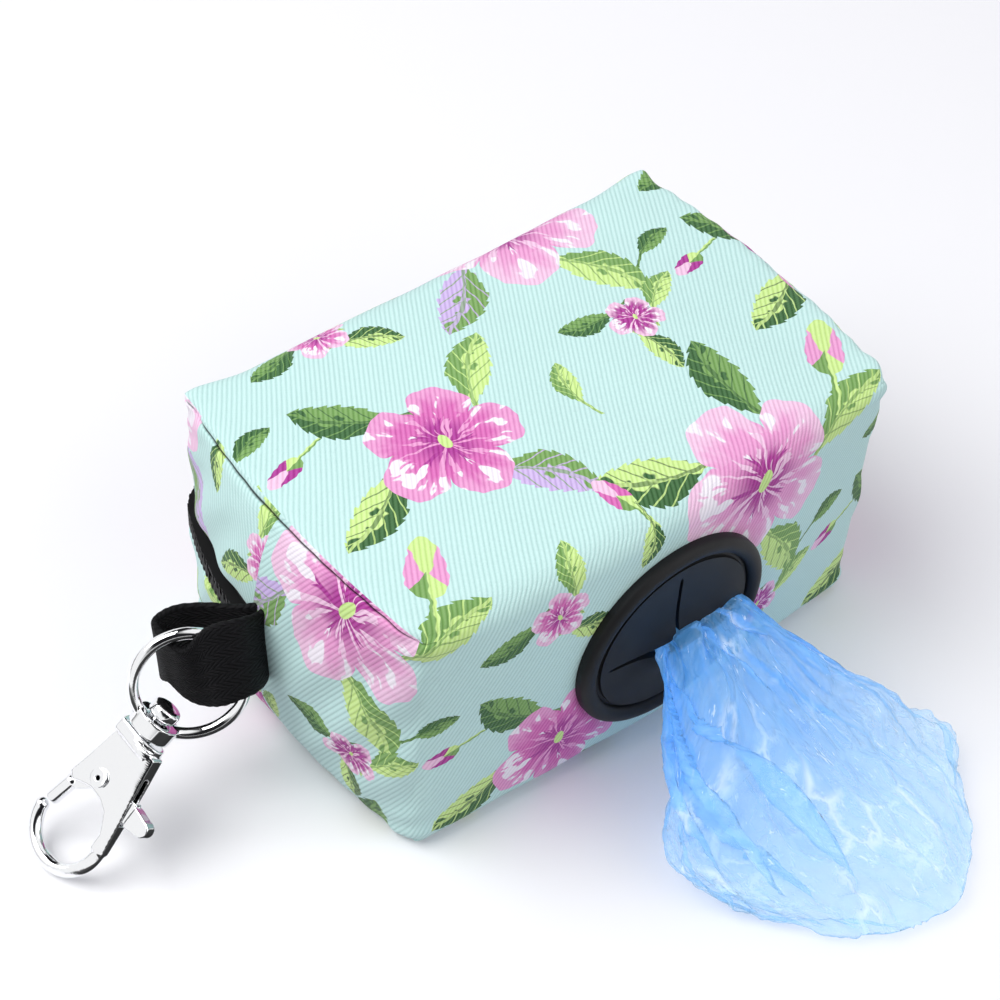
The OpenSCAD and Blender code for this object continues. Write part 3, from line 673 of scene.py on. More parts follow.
@dataclass(frozen=True)
class BagFilm(Finish):
    """Thin see-through film, denser where it is creased, with painted glints that make the creases paler.
    The map "film" is in millimetres.
    """

    # strength of the painted glow: emission in the film's tone that stands in for light shining through it
    painted_glow: float = 0.2
    shade: float = 0.36
    depth: float = 0.45
    cell: float = 0.42
    tones: tuple[str, str] = ("3fa6fb", "b4e3ff")

    def draw(self, g: Graph, shader: bpy.types.Node, effects: Effects) -> None:
        """Varies tone and density with crinkles that run along the bag, and paints glints and a glow into
        it.
        """
        along, across, _ = g.apart(g.read("ShaderNodeUVMap", uv_map="film"))
        drawn = g.joined(along * 0.4, across)
        marks = g.group(effects.grain, {"Place": drawn, "Fine": 0.9, "Broad": 0.16})
        cells = {"Vector": g.vector("ADD", drawn, g.scaled(marks["Fine"], 1.6)), "Scale": self.cell}
        ridge = g.step(g.read("ShaderNodeTexVoronoi", cells, feature="DISTANCE_TO_EDGE"), 0.2, 0.0)
        far = g.step(along, 18.0, 62.0)
        # the crinkles' ridges are painted a little paler, as a painted highlight
        pale = ridge * 0.12 + far * 0.55 + marks["Broad"] * 0.4
        tone = g.mix(pale, ink(self.tones[0]), ink(self.tones[1]))
        # painted glints: white streaks along the crinkles, mixed into the tone and the density
        painted_glint_streaks = g.noise(g.joined(along * 0.2, across * 1.3), 1.0, 3.0, 0.65)
        painted_glint = g.step(painted_glint_streaks, 0.6, 0.64) * g.step(marks["Fine"], 0.5, 0.6)
        painted_glint = painted_glint | (ridge * g.step(marks["Broad"], 0.56, 0.66))
        tone = g.mix(painted_glint * 0.6, tone, (0.9, 0.97, 1.0, 1.0))
        facing = g.read("ShaderNodeLayerWeight", {"Blend": 0.3}, "Facing")
        density = painted_glint * 0.3 + facing * 0.42 + g.between(far, 0.48, 0.24)
        shadow = g.read("ShaderNodeLightPath", output="Is Shadow Ray")
        density = density * g.between(shadow, 1.0, self.shade)
        g.fill(shader, {
            "Base Color": tone, "Emission Color": tone, "Emission Strength": self.painted_glow,
            "Roughness": g.between(marks["Broad"], 0.12, 0.3),
            "Alpha": g.math("MINIMUM", density, 1.0),
            "Normal": g.bump(marks["Fine"] * 0.8 + ridge * 0.5, self.depth),
        })


class Wardrobe:
    """All the finishes of the dispenser, by slot."""

    def __init__(self, effects: Effects, roll_axis: float) -> None:
        """Makes each material once.

        Args:
            effects: The shared node groups.
            roll_axis: Height of the roll's middle in millimetres.
        """
        finishes = {
            "printed_twill": PrintedTwill("Printed twill"),
            "foam": Moulded("Foam", "d9d6cc", "f4f2ec", 0.95, 0.05, 2.4, 0.2),
            "lining_cloth": PlainWeave("Lining cloth", "b9bcc0", 0.5),
            "zip_tape": PlainWeave("Zip tape", "111113", 0.85, 0.16, 0.8),
            "zip_coil": Moulded("Nylon coil", "060607", "0e0e10", 0.62, 0.1, 3.0, 0.01),
            "zip_metal": Moulded("Black enamel", "0c0c0d", "1b1b1d", 0.28, 0.12, 3.0, 0.015),
            "webbing": HerringboneWebbing("Herringbone webbing"),
            "black_rubber": Moulded("Matt rubber", "08080a", "0f1013", 0.55, 0.14, 6.0, 0.02),
            "core_board": Moulded("Grey board", "b29a74", "d3bf9b", 0.85, 0.1, 1.6, 0.06),
            "bag_film": BagFilm("Bag film"),
            "wound_film": WoundFilm("Wound film", roll_axis),
            "chrome": PolishedMetal("Chrome", "f0f1f3", 0.06),
            "spring_wire": PolishedMetal("Spring wire", "b4b6ba", 0.22),
        }
        self.materials = {slot: finish.make(effects) for slot, finish in finishes.items()}

    def __getitem__(self, slot: str) -> bpy.types.Material:
        """Returns the material of a slot."""
        return self.materials[slot]


# ------------------------------------------------------------------ mesh helpers


@dataclass
class Bench:
    """Makes finished pieces from meshes and CAD nodes, with the wardrobe's materials."""

    wardrobe: Wardrobe
    weld: float = 0.002
    flat_angle: float = 2.0
    edge_angle: float = 38.0
    edge_segments: int = 3

    def piece(
        self, mesh: bmesh.types.BMesh, name: str, body: str, slot: str, stands_for: Sequence[str]
    ) -> bpy.types.Object:
        """Turns a bmesh in millimetres into a piece that rides on a body.

        Args:
            mesh: The geometry, which is freed.
            name: The piece's name.
            body: The body that it moves with.
            slot: The record's material slot.
            stands_for: CAD nodes that it replaces.

        Returns:
            The new object.
        """
        bmesh.ops.scale(mesh, vec=(MM, MM, MM), verts=mesh.verts)
        for face in mesh.faces:
            face.smooth = True
        data = bpy.data.meshes.new(name)
        mesh.to_mesh(data)
        mesh.free()
        data.materials.append(self.wardrobe[slot])
        piece = bpy.data.objects.new(name, data)
        bpy.context.scene.collection.objects.link(piece)
        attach(piece, body)
        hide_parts(*stands_for)
        LOG.info("%s: %d faces on %s", name, len(data.polygons), body)
        return piece

    def paint(self, node: str, slot: str) -> None:
        """Puts a finish on a CAD node that keeps its shape."""
        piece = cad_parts[node]
        piece.data.materials.clear()
        piece.data.materials.append(self.wardrobe[slot])
        LOG.info("%s: %s", node, slot)

    def _node_mesh(self, node: str) -> bmesh.types.BMesh:
        """Returns a merged copy of a CAD node in millimetres."""
        mesh = bmesh.new()
        mesh.from_mesh(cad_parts[node].data)
        bmesh.ops.scale(mesh, vec=(1 / MM,) * 3, verts=mesh.verts)
        bmesh.ops.remove_doubles(mesh, verts=mesh.verts, dist=self.weld)
        return mesh

    def soften(self, node: str, name: str, body: str, slot: str, radius: float) -> None:
        """Replaces a CAD node with a merged copy whose edges are rounded.

        Args:
            node: The CAD node.
            name: The new piece's name.
            body: The body that it rides on.
            slot: Its material slot.
            radius: Radius of the edges in millimetres.
        """
        mesh = self._node_mesh(node)
        limit = math.radians(self.flat_angle)
        bmesh.ops.dissolve_limit(mesh, angle_limit=limit, verts=mesh.verts, edges=mesh.edges)
        self.round_edges(self.piece(mesh, name, body, slot, (node,)), radius)

    def round_edges(self, piece: bpy.types.Object, radius: float) -> None:
        """Rounds the sharp edges of a piece to a radius in millimetres."""
        bevel = piece.modifiers.new("Rounded edges", "BEVEL")
        bevel.width = radius * MM
        bevel.segments = self.edge_segments
        bevel.limit_method = "ANGLE"
        bevel.angle_limit = math.radians(self.edge_angle)
        bevel.harden_normals = True

    def cast(
        self, node: str, name: str, body: str, slot: str, grid: float, passes: int
    ) -> bpy.types.Object:
        """Replaces a CAD node with a cast one, remeshed finely and smoothed, so every edge is soft.

        Args:
            node: The CAD node.
            name: The new piece's name.
            body: The body that it rides on.
            slot: Its material slot.
            grid: Size of the new mesh's cells in millimetres.
            passes: How often it is smoothed.

        Returns:
            The new piece.
        """
        piece = self.piece(self._node_mesh(node), name, body, slot, (node,))
        remesh = piece.modifiers.new("Cast", "REMESH")
        remesh.mode = "VOXEL"
        remesh.voxel_size = grid * MM
        remesh.use_smooth_shade = True
        smooth = piece.modifiers.new("Polish", "SMOOTH")
        smooth.factor = 0.5
        smooth.iterations = passes
        depsgraph = bpy.context.evaluated_depsgraph_get()
        data = bpy.data.meshes.new_from_object(piece.evaluated_get(depsgraph))
        piece.modifiers.clear()
        piece.data = data
        return piece


def subdivide(piece: bpy.types.Object, levels: int = 1) -> None:
    """Adds a subdivision surface with equal levels in view and render."""
    modifier = piece.modifiers.new("Subdivision", "SUBSURF")
    modifier.levels = modifier.render_levels = levels


def thicken(piece: bpy.types.Object, thickness: float, offset: float) -> None:
    """Gives a sheet its thickness in millimetres."""
    modifier = piece.modifiers.new("Thickness", "SOLIDIFY")
    modifier.thickness = thickness * MM
    modifier.offset = offset


def ramp(value: float, start: float, end: float) -> float:
    """Returns 0 at start, 1 at end and a smooth rise between them."""
    t = min(1.0, max(0.0, (value - start) / (end - start)))
    return t * t * (3 - 2 * t)


def curve_row(rows: Sequence[Sequence[float]], share: float) -> list[float]:
    """Interpolates a table smoothly.

    Args:
        rows: The table, one row for each station.
        share: Place along it, from 0 to 1.

    Returns:
        The row at that place, on a Catmull-Rom spline through the stations.
    """
    last = len(rows) - 1
    at = min(max(share * last, 0.0), last - 1e-6)
    i = int(at)
    t = at - i
    near = [rows[min(max(k, 0), last)] for k in (i - 1, i, i + 1, i + 2)]
    return [
        0.5 * (2 * b + (c - a) * t + (2 * a - 5 * b + 4 * c - d) * t * t + (3 * b - a - 3 * c + d) * t ** 3)
        for a, b, c, d in zip(*near)
    ]


def spread(value: float, width: float) -> float:
    """Returns a bell that is 1 at 0 and falls off over a width."""
    return math.exp(-((value / width) ** 2))


# ------------------------------------------------------------------ pouch


@dataclass
class Pouch:
    """The boxed pouch: an outer skin of printed twill and an inner one of foam and lining.

    The front, top and base are one cloth. It is folded round the ends to an upright seam in the
    middle of each, and boxed along the ends' top and bottom edges.
    """

    bench: Bench
    length: float = 90.0
    depth: float = 60.0
    height: float = 50.0
    end_bulge: float = 7.5
    front_bulge: float = 3.6
    top_crown: float = 1.5
    seam_bow: float = 2.0
    fold: float = 4.0
    corner_fold: float = 3.2
    seam_fold: float = 1.3
    seam_drop: float = 0.9
    seam_reach: float = 6.0
    shell_t: float = 1.2
    lining_depth: float = 1.25
    inner_t: float = 2.15
    cuts: int = 40
    zip_z: float = 26.5
    zip_gap: float = 9.2
    zip_end_y: float = 1.2
    grommet_z: float = 25.0
    hole_r: float = 15.7
    seat_y: float = -33.02
    seat_r: float = 18.4
    seat_blend: float = 8.0
    crowding: float = 0.8
    weld: float = 0.07
    inner_gap: float = 3.7
    seam_rows: tuple[float, ...] = (-0.36, -0.18, 0.0, 0.18, 0.36)
    # how far the print jumps where one cloth ends and the next one begins
    back_jump: float = 9.0
    end_jump: float = 23.0
    # share of a fold's radius that is lost towards its ends, and the length over which it is lost
    fold_loss: tuple[float, float] = (0.62, 12.0)
    corner_loss: tuple[float, float] = (0.45, 10.0)
    slack: float = 0.5
    pucker: float = 0.3
    pucker_pitch: float = 5.4
    pucker_reach: float = 4.2
    gather: float = 0.45
    gather_reach: float = 7.0
    tension: float = 0.5
    # depth and width of the groove in the boxing's seam and in the upright one
    boxing_groove: tuple[float, float] = (0.8, 0.32)
    upright_groove: tuple[float, float] = (0.16, 1.2)

    def build(self) -> None:
        """Makes both skins."""
        skin = self._skin("pouch_cloth", 0.0, "printed_twill", ("outer_shell",))
        thicken(skin, self.shell_t, -1.0)
        subdivide(skin)
        hidden = ("foam_interlining", "lining")
        inner = self._skin("pouch_lining", self.lining_depth, "lining_cloth", hidden)
        thicken(inner, self.inner_t, -1.0)

    def _skin(self, name: str, inset: float, slot: str, stands_for: Sequence[str]) -> bpy.types.Object:
        """Builds one skin of the pouch.

        Args:
            name: The piece's name.
            inset: How far it lies inside the pouch's outer form.
            slot: Its material slot.
            stands_for: The CAD nodes that it replaces.

        Returns:
            The skin, with its openings cut and its print mapped.
        """
        mesh = bmesh.new()
        bmesh.ops.create_cube(mesh, size=2)
        bmesh.ops.subdivide_edges(mesh, edges=mesh.edges, cuts=self.cuts, use_grid_fill=True)
        flat = mesh.verts.layers.float_vector.new("flat")
        half = Vector((self.length / 2, self.depth / 2, self.height / 2))
        for vert in mesh.verts:
            vert.co = Vector(self._crowd(c) * h for c, h in zip(vert.co, half))
            vert[flat] = vert.co
        self._cut_openings(mesh, inset)
        self._map_print(mesh, flat, half)
        seam = mesh.verts.layers.float.new("seam")
        for vert in mesh.verts:
            vert.co = self._shape(vert.co, inset)
        mesh.normal_update()
        shifts = [self._relief(v[flat], v.co, inset) for v in mesh.verts]
        for vert, (shift, distance) in zip(mesh.verts, shifts):
            vert.co += vert.normal * shift
            vert[seam] = distance
        self._press_seat(mesh, inset)
        bmesh.ops.translate(mesh, vec=(0, 0, self.height / 2), verts=mesh.verts)
        return self.bench.piece(mesh, name, "pouch", slot, stands_for)

    def _crowd(self, share: float) -> float:
        """Moves the grid lines closer together near the folds."""
        reach = self.crowding * math.pi / 2
        return math.sin(share * reach) / math.sin(reach)

    def _cut_openings(self, mesh: bmesh.types.BMesh, inset: float) -> None:
        """Cuts the slit for the zip and the grommet's hole out of the flat box.

        Args:
            mesh: The box before it is rounded, centred on the origin.
            inset: How far this skin lies inside, where the opening is wider.
        """
        middle = self.zip_z - self.height / 2
        half = self.zip_gap / 2 + (self.inner_gap if inset else 0.0)
        level = (0, 0, 1)
        planes = [((0, 0, middle - half), level), ((0, 0, middle + half), level)]
        planes.append(((0, self.zip_end_y, 0), (0, 1, 0)))
        for beside in self.seam_rows:
            drop = self.height / 2 - self.seam_drop + beside
            planes += [((0, 0, drop), level), ((0, 0, -drop), level)]
        for point, normal in planes:
            everything = mesh.verts[:] + mesh.edges[:] + mesh.faces[:]
            bmesh.ops.bisect_plane(mesh, geom=everything, dist=0.05, plane_co=point, plane_no=normal)
        doomed = []
        for face in mesh.faces:
            centre = face.calc_center_median()
            in_slit = abs(centre.z - middle) < half and centre.y > self.zip_end_y
            from_hole = math.hypot(centre.x, centre.z + self.height / 2 - self.grommet_z)
            if in_slit or (centre.y < -self.depth / 2 + 0.1 and from_hole < self.hole_r):
                doomed.append(face)
        bmesh.ops.delete(mesh, geom=doomed, context="FACES")
        bmesh.ops.remove_doubles(mesh, verts=mesh.verts, dist=self.weld)

    def _map_print(self, mesh: bmesh.types.BMesh, flat: object, half: Vector) -> None:
        """Unfolds the cloth into the map "print", in millimetres.

        Args:
            mesh: The flat box with its openings.
            flat: The vertex layer of flat places.
            half: Half of the box's sides.
        """
        layer = mesh.loops.layers.uv.new("print")
        for face in mesh.faces:
            normal = face.normal
            centre = face.calc_center_median()
            for loop in face.loops:
                x, y, z = loop.vert[flat]
                if abs(normal.z) > 0.5:
                    side = 1 if normal.z > 0 else -1
                    spot = (x, side * (half.z + y + half.y))
                elif abs(normal.y) > 0.5:
                    spot = (x, z) if normal.y < 0 else (-x + 2 * half.x + self.back_jump, z)
                else:
                    side = 1 if normal.x > 0 else -1
                    wrap = y + half.y if centre.y < self.zip_end_y else half.y - y + self.end_jump
                    spot = (side * (half.x + wrap), z)
                loop[layer].uv = spot

    def _round(self, a: float, b: float, ha: float, hb: float, r: float) -> tuple[float, float]:
        """Rounds one fold of the box.

        Args:
            a: Place across the first face pair.
            b: Place across the second.
            ha: Half size for a.
            hb: Half size for b.
            r: Radius of the fold.

        Returns:
            The rounded places.
        """
        over_a = max(abs(a) - (ha - r), 0) / r
        over_b = max(abs(b) - (hb - r), 0) / r
        if over_a <= 0 or over_b <= 0:
            return a, b
        pull = max(over_a, over_b) / math.hypot(over_a, over_b)
        round_a = math.copysign(ha - r + r * over_a * pull, a)
        return round_a, math.copysign(hb - r + r * over_b * pull, b)

    def _shape(self, place: Vector, inset: float) -> Vector:
        """Rounds and swells a point of the box.

        Args:
            place: The point on the box.
            inset: How far the skin lies inside the outer form.

        Returns:
            The point on the pouch, centred on its middle.
        """
        hx, hy, hz = self.length / 2, self.depth / 2, self.height / 2
        x, y, z = place
        loss, reach = self.fold_loss
        fold = self.fold * (1 - loss * ramp(abs(x), hx - reach, hx))
        y, z = self._round(y, z, hy, hz, fold)
        loss, reach = self.corner_loss
        fold = self.corner_fold * (1 - loss * ramp(abs(z), hz - reach, hz))
        x, y = self._round(x, y, hx, hy, fold)
        x, z = self._round(x, z, hx, hz, self.seam_fold)
        u, v, w = x / hx, y / hy, z / hz
        ends = (1 - v * v) * (self.seam_bow + (self.end_bulge - self.seam_bow) * (1 - w * w) ** 0.8)
        out_x = x + u ** 5 * ends
        out_y = y - max(-v, 0) ** 3 * self.front_bulge * (1 - u * u) * (0.7 + 0.3 * (1 - w * w))
        out_z = z + max(w, 0) ** 5 * self.top_crown * (1 - u * u) * (1 - v * v)
        shrink = 1 - inset / hx, 1 - inset / hy, 1 - inset / hz
        return Vector((out_x * shrink[0], out_y * shrink[1], out_z * shrink[2]))

    def _relief(self, flat: Vector, place: Vector, inset: float) -> tuple[float, float]:
        """Works out seams, puckers and slack at a point.

        Args:
            flat: The point on the flat box.
            place: The same point on the pouch.
            inset: How far the skin lies inside, where only the slack shows.

        Returns:
            The shift along the normal, and the distance from the nearest seam, in millimetres.
        """
        hx, hy, hz = self.length / 2, self.depth / 2, self.height / 2
        fine = noise.noise(place * 0.13 + Vector((5, 0, 0)))
        slack = self.slack * (noise.noise(place * 0.045) + fine / 2)
        if inset:
            return slack * 0.5, self.seam_reach
        below = hz - abs(flat.z)
        beside = hx - abs(flat.x)
        on_end = beside < 0.01
        from_edge = below + 0.5 if on_end else math.hypot(beside + 0.5, below)
        along = flat.y
        drift = 2.2 * noise.noise(Vector((along * 0.16, flat.z, 3)))
        waves = math.sin(along * math.tau / self.pucker_pitch + drift)
        pucker = self.pucker * waves * math.exp(-from_edge / self.pucker_reach)
        corner = abs(abs(along) - hy)
        near = spread(math.hypot(from_edge, corner), self.gather_reach)
        gather = self.gather * near * math.sin(place.z * 1.3 + along * 0.7)
        if not on_end:
            return slack + pucker + gather, self.seam_reach
        edge = abs(below - self.seam_drop)
        upright = abs(along - self.zip_end_y)
        groove = self.boxing_groove[0] * spread(edge, self.boxing_groove[1])
        groove += self.upright_groove[0] * spread(upright, self.upright_groove[1])
        pulled = self.tension * ramp(below, 3, 12) * ramp(abs(along), 2, 10)
        tension = pulled * math.sin(along * 0.55 + flat.z * 0.35)
        return slack + pucker + gather - groove + tension, min(edge, self.seam_reach)

    def _press_seat(self, mesh: bmesh.types.BMesh, inset: float) -> None:
        """Presses the front flat behind the grommet's rim and rounds the hole.

        Args:
            mesh: The shaped skin, centred on the pouch's middle.
            inset: How far the skin lies inside.
        """
        centre_z = self.grommet_z - self.height / 2
        for vert in mesh.verts:
            radius = math.hypot(vert.co.x, vert.co.z - centre_z)
            if vert.co.y > -self.depth / 2 + 4 or radius > self.seat_r + self.seat_blend:
                continue
            flat = 1 - ramp(radius, self.seat_r, self.seat_r + self.seat_blend)
            vert.co.y += (self.seat_y + inset + 0.02 - vert.co.y) * flat
            if vert.is_boundary and radius < self.hole_r + 3:
                pull = self.hole_r / radius
                vert.co.x *= pull
                vert.co.z = centre_z + (vert.co.z - centre_z) * pull


# ------------------------------------------------------------------ webbing


@dataclass
class WebbingLoop:
    """The strap that is folded double round the eye and sewn into the end seam."""

    bench: Bench
    width: float = 17.0
    thickness: float = 1.2
    reach: float = 14.0
    seam_x: float = 52.5
    middle_z: float = 25.5
    along: int = 150
    across: int = 14
    scallop: float = 0.16
    weft_pitch: float = 1.5
    # share of the reach, place across the seam, rise, share of the width, lean in degrees
    run: tuple[tuple[float, float, float, float, float], ...] = (
        (-0.07, -0.75, 1.5, 0.8, 0), (0.06, -1.96, 1.45, 0.84, 8), (0.31, -3.67, 4.0, 0.82, 16),
        (0.52, -3.45, 4.6, 0.8, 22), (0.65, -2.5, 3.7, 0.78, 24), (0.73, -1.25, 2.1, 0.74, 18),
        (0.82, 0.0, 1.0, 0.66, 10), (0.87, 1.4, 0.7, 0.62, 4), (0.9, 3.1, 1.1, 0.6, 2),
        (0.92, 5.1, 1.4, 0.6, 12), (0.9, 7.0, 0.4, 0.72, 8), (0.84, 8.1, -0.3, 0.83, 2),
        (0.71, 8.4, -0.6, 0.88, 0), (0.55, 8.0, -1.0, 0.9, 0), (0.34, 6.2, -1.0, 0.9, 0),
        (0.16, 3.6, -0.2, 0.86, 0), (0.03, 1.7, 0.7, 0.82, 0), (-0.07, 0.75, 1.5, 0.8, 0),
    )

    def build(self) -> None:
        """Sweeps a grid along the strap's run and gives it its thickness."""
        mesh = bmesh.new()
        bmesh.ops.create_grid(mesh, x_segments=self.along, y_segments=self.across, size=1)
        layer = mesh.loops.layers.uv.new("strap")
        length = self._length()
        for face in mesh.faces:
            for loop in face.loops:
                s, t = (loop.vert.co.x + 1) / 2, loop.vert.co.y
                loop[layer].uv = (s * length, t * self.width / 2)
        for vert in mesh.verts:
            vert.co = self._spot((vert.co.x + 1) / 2, vert.co.y, length)
        bmesh.ops.recalc_face_normals(mesh, faces=mesh.faces)
        strap = self.bench.piece(mesh, "webbing_strap", "pouch", "webbing", ("webbing_loop",))
        thicken(strap, self.thickness, 0.0)
        subdivide(strap)

    def _row(self, s: float) -> tuple[Vector, float, float]:
        """Returns the strap's middle, share of the width and lean at a share of its length."""
        mixed = curve_row(self.run, s)
        middle = Vector((-self.seam_x - mixed[0] * self.reach, mixed[1], mixed[2] + self.middle_z))
        return middle, mixed[3], math.radians(mixed[4])

    def _length(self) -> float:
        """Returns the strap's whole length in millimetres."""
        spots = [self._row(i / 200)[0] for i in range(201)]
        return sum((b - a).length for a, b in zip(spots, spots[1:]))

    def _spot(self, s: float, t: float, length: float) -> Vector:
        """Places a point of the strap.

        Args:
            s: Share of the strap's length.
            t: Place across it, from -1 to 1.
            length: The strap's length in millimetres.

        Returns:
            The point, with the edges scalloped as the weft turns round them.
        """
        middle, share, lean = self._row(s)
        up = Vector((0, math.sin(lean), math.cos(lean)))
        turns = abs(math.sin(s * length * math.pi / self.weft_pitch))
        scallop = self.scallop * turns * ramp(abs(t), 0.85, 1.0)
        half = self.width / 2 * share
        return middle + up * (t * half + math.copysign(scallop, t))


# ------------------------------------------------------------------ zip


@dataclass
class Zip:
    """Tapes, coils, stops, slider and pull of the zip on the back and round the end."""

    bench: Bench
    finishes: tuple[tuple[str, str], ...] = (
        ("zip_tape_upper", "zip_tape"), ("zip_tape_lower", "zip_tape"), ("zip_coil_upper", "zip_coil"),
        ("zip_coil_lower", "zip_coil"), ("zip_top_stops", "zip_metal"), ("zip_bottom_stop", "zip_metal"),
    )
    slider_edge: float = 0.18
    pull_edge: float = 0.22

    def build(self) -> None:
        """Finishes the zip's pieces."""
        for node, slot in self.finishes:
            self.bench.paint(node, slot)
        self.bench.soften("zip_slider", "slider_body", "slider", "zip_metal", self.slider_edge)
        self.bench.soften("zip_pull", "pull_tab", "pull", "zip_metal", self.pull_edge)


# ------------------------------------------------------------------ hook


@dataclass
class SwivelHook:
    """Eye, rivets, trigger hook, gate and spring."""

    bench: Bench
    grid: float = 0.13
    gate_grid: float = 0.1
    eye_passes: int = 12
    body_passes: int = 40
    gate_passes: int = 20
    stud_edge: float = 0.3
    eyelet_edge: float = 0.16
    # the plate's plane at rest, and how its outer edge slopes away
    plate_up: tuple[float, float, float] = (-0.6714, -0.1039, 0.7337)
    plate_across: tuple[float, float, float] = (0.1047, -0.9935, -0.0449)
    slope_reach: float = 3.4
    slope_share: float = 0.36
    edge_step: float = 0.3
    edge_window: int = 4

    def build(self) -> None:
        """Casts the big pieces and finishes the small ones."""
        bench = self.bench
        bench.cast("swivel_eye", "eye_ring", "eye", "chrome", self.grid, self.eye_passes)
        body = bench.cast("hook_body", "hook_casting", "hook", "chrome", self.grid, self.body_passes)
        self._slope_edge(body)
        bench.cast("gate_lever", "gate_casting", "gate", "chrome", self.gate_grid, self.gate_passes)
        bench.soften("swivel_rivet", "swivel_stud", "hook", "chrome", self.stud_edge)
        bench.soften("gate_rivet", "gate_eyelet", "hook", "chrome", self.eyelet_edge)
        bench.paint("gate_spring", "spring_wire")

    def _slope_edge(self, body: bpy.types.Object) -> None:
        """Thins the hook's plate towards its outer edge, so that its faces slope away there."""
        up, across = Vector(self.plate_up), Vector(self.plate_across)
        along = up.cross(across)
        verts = body.data.vertices
        steps = [round(vert.co.dot(along) / MM / self.edge_step) for vert in verts]
        sides = [vert.co.dot(across) / MM for vert in verts]
        edges: dict[int, float] = {}
        for step, side in zip(steps, sides):
            edges[step] = max(edges.get(step, side), side)
        even = {}
        for step in edges:
            window = range(step - self.edge_window, step + self.edge_window + 1)
            near = [edges[k] for k in window if k in edges]
            even[step] = sum(near) / len(near)
        heights = [vert.co.dot(up) for vert in verts]
        middle = (min(heights) + max(heights)) / 2
        for vert, step, side, height in zip(verts, steps, sides, heights):
            slope = max(0.0, 1 - max(even[step] - side, 0.0) / self.slope_reach) ** 2
            vert.co -= up * (height - middle) * self.slope_share * slope


# ------------------------------------------------------------------ grommet


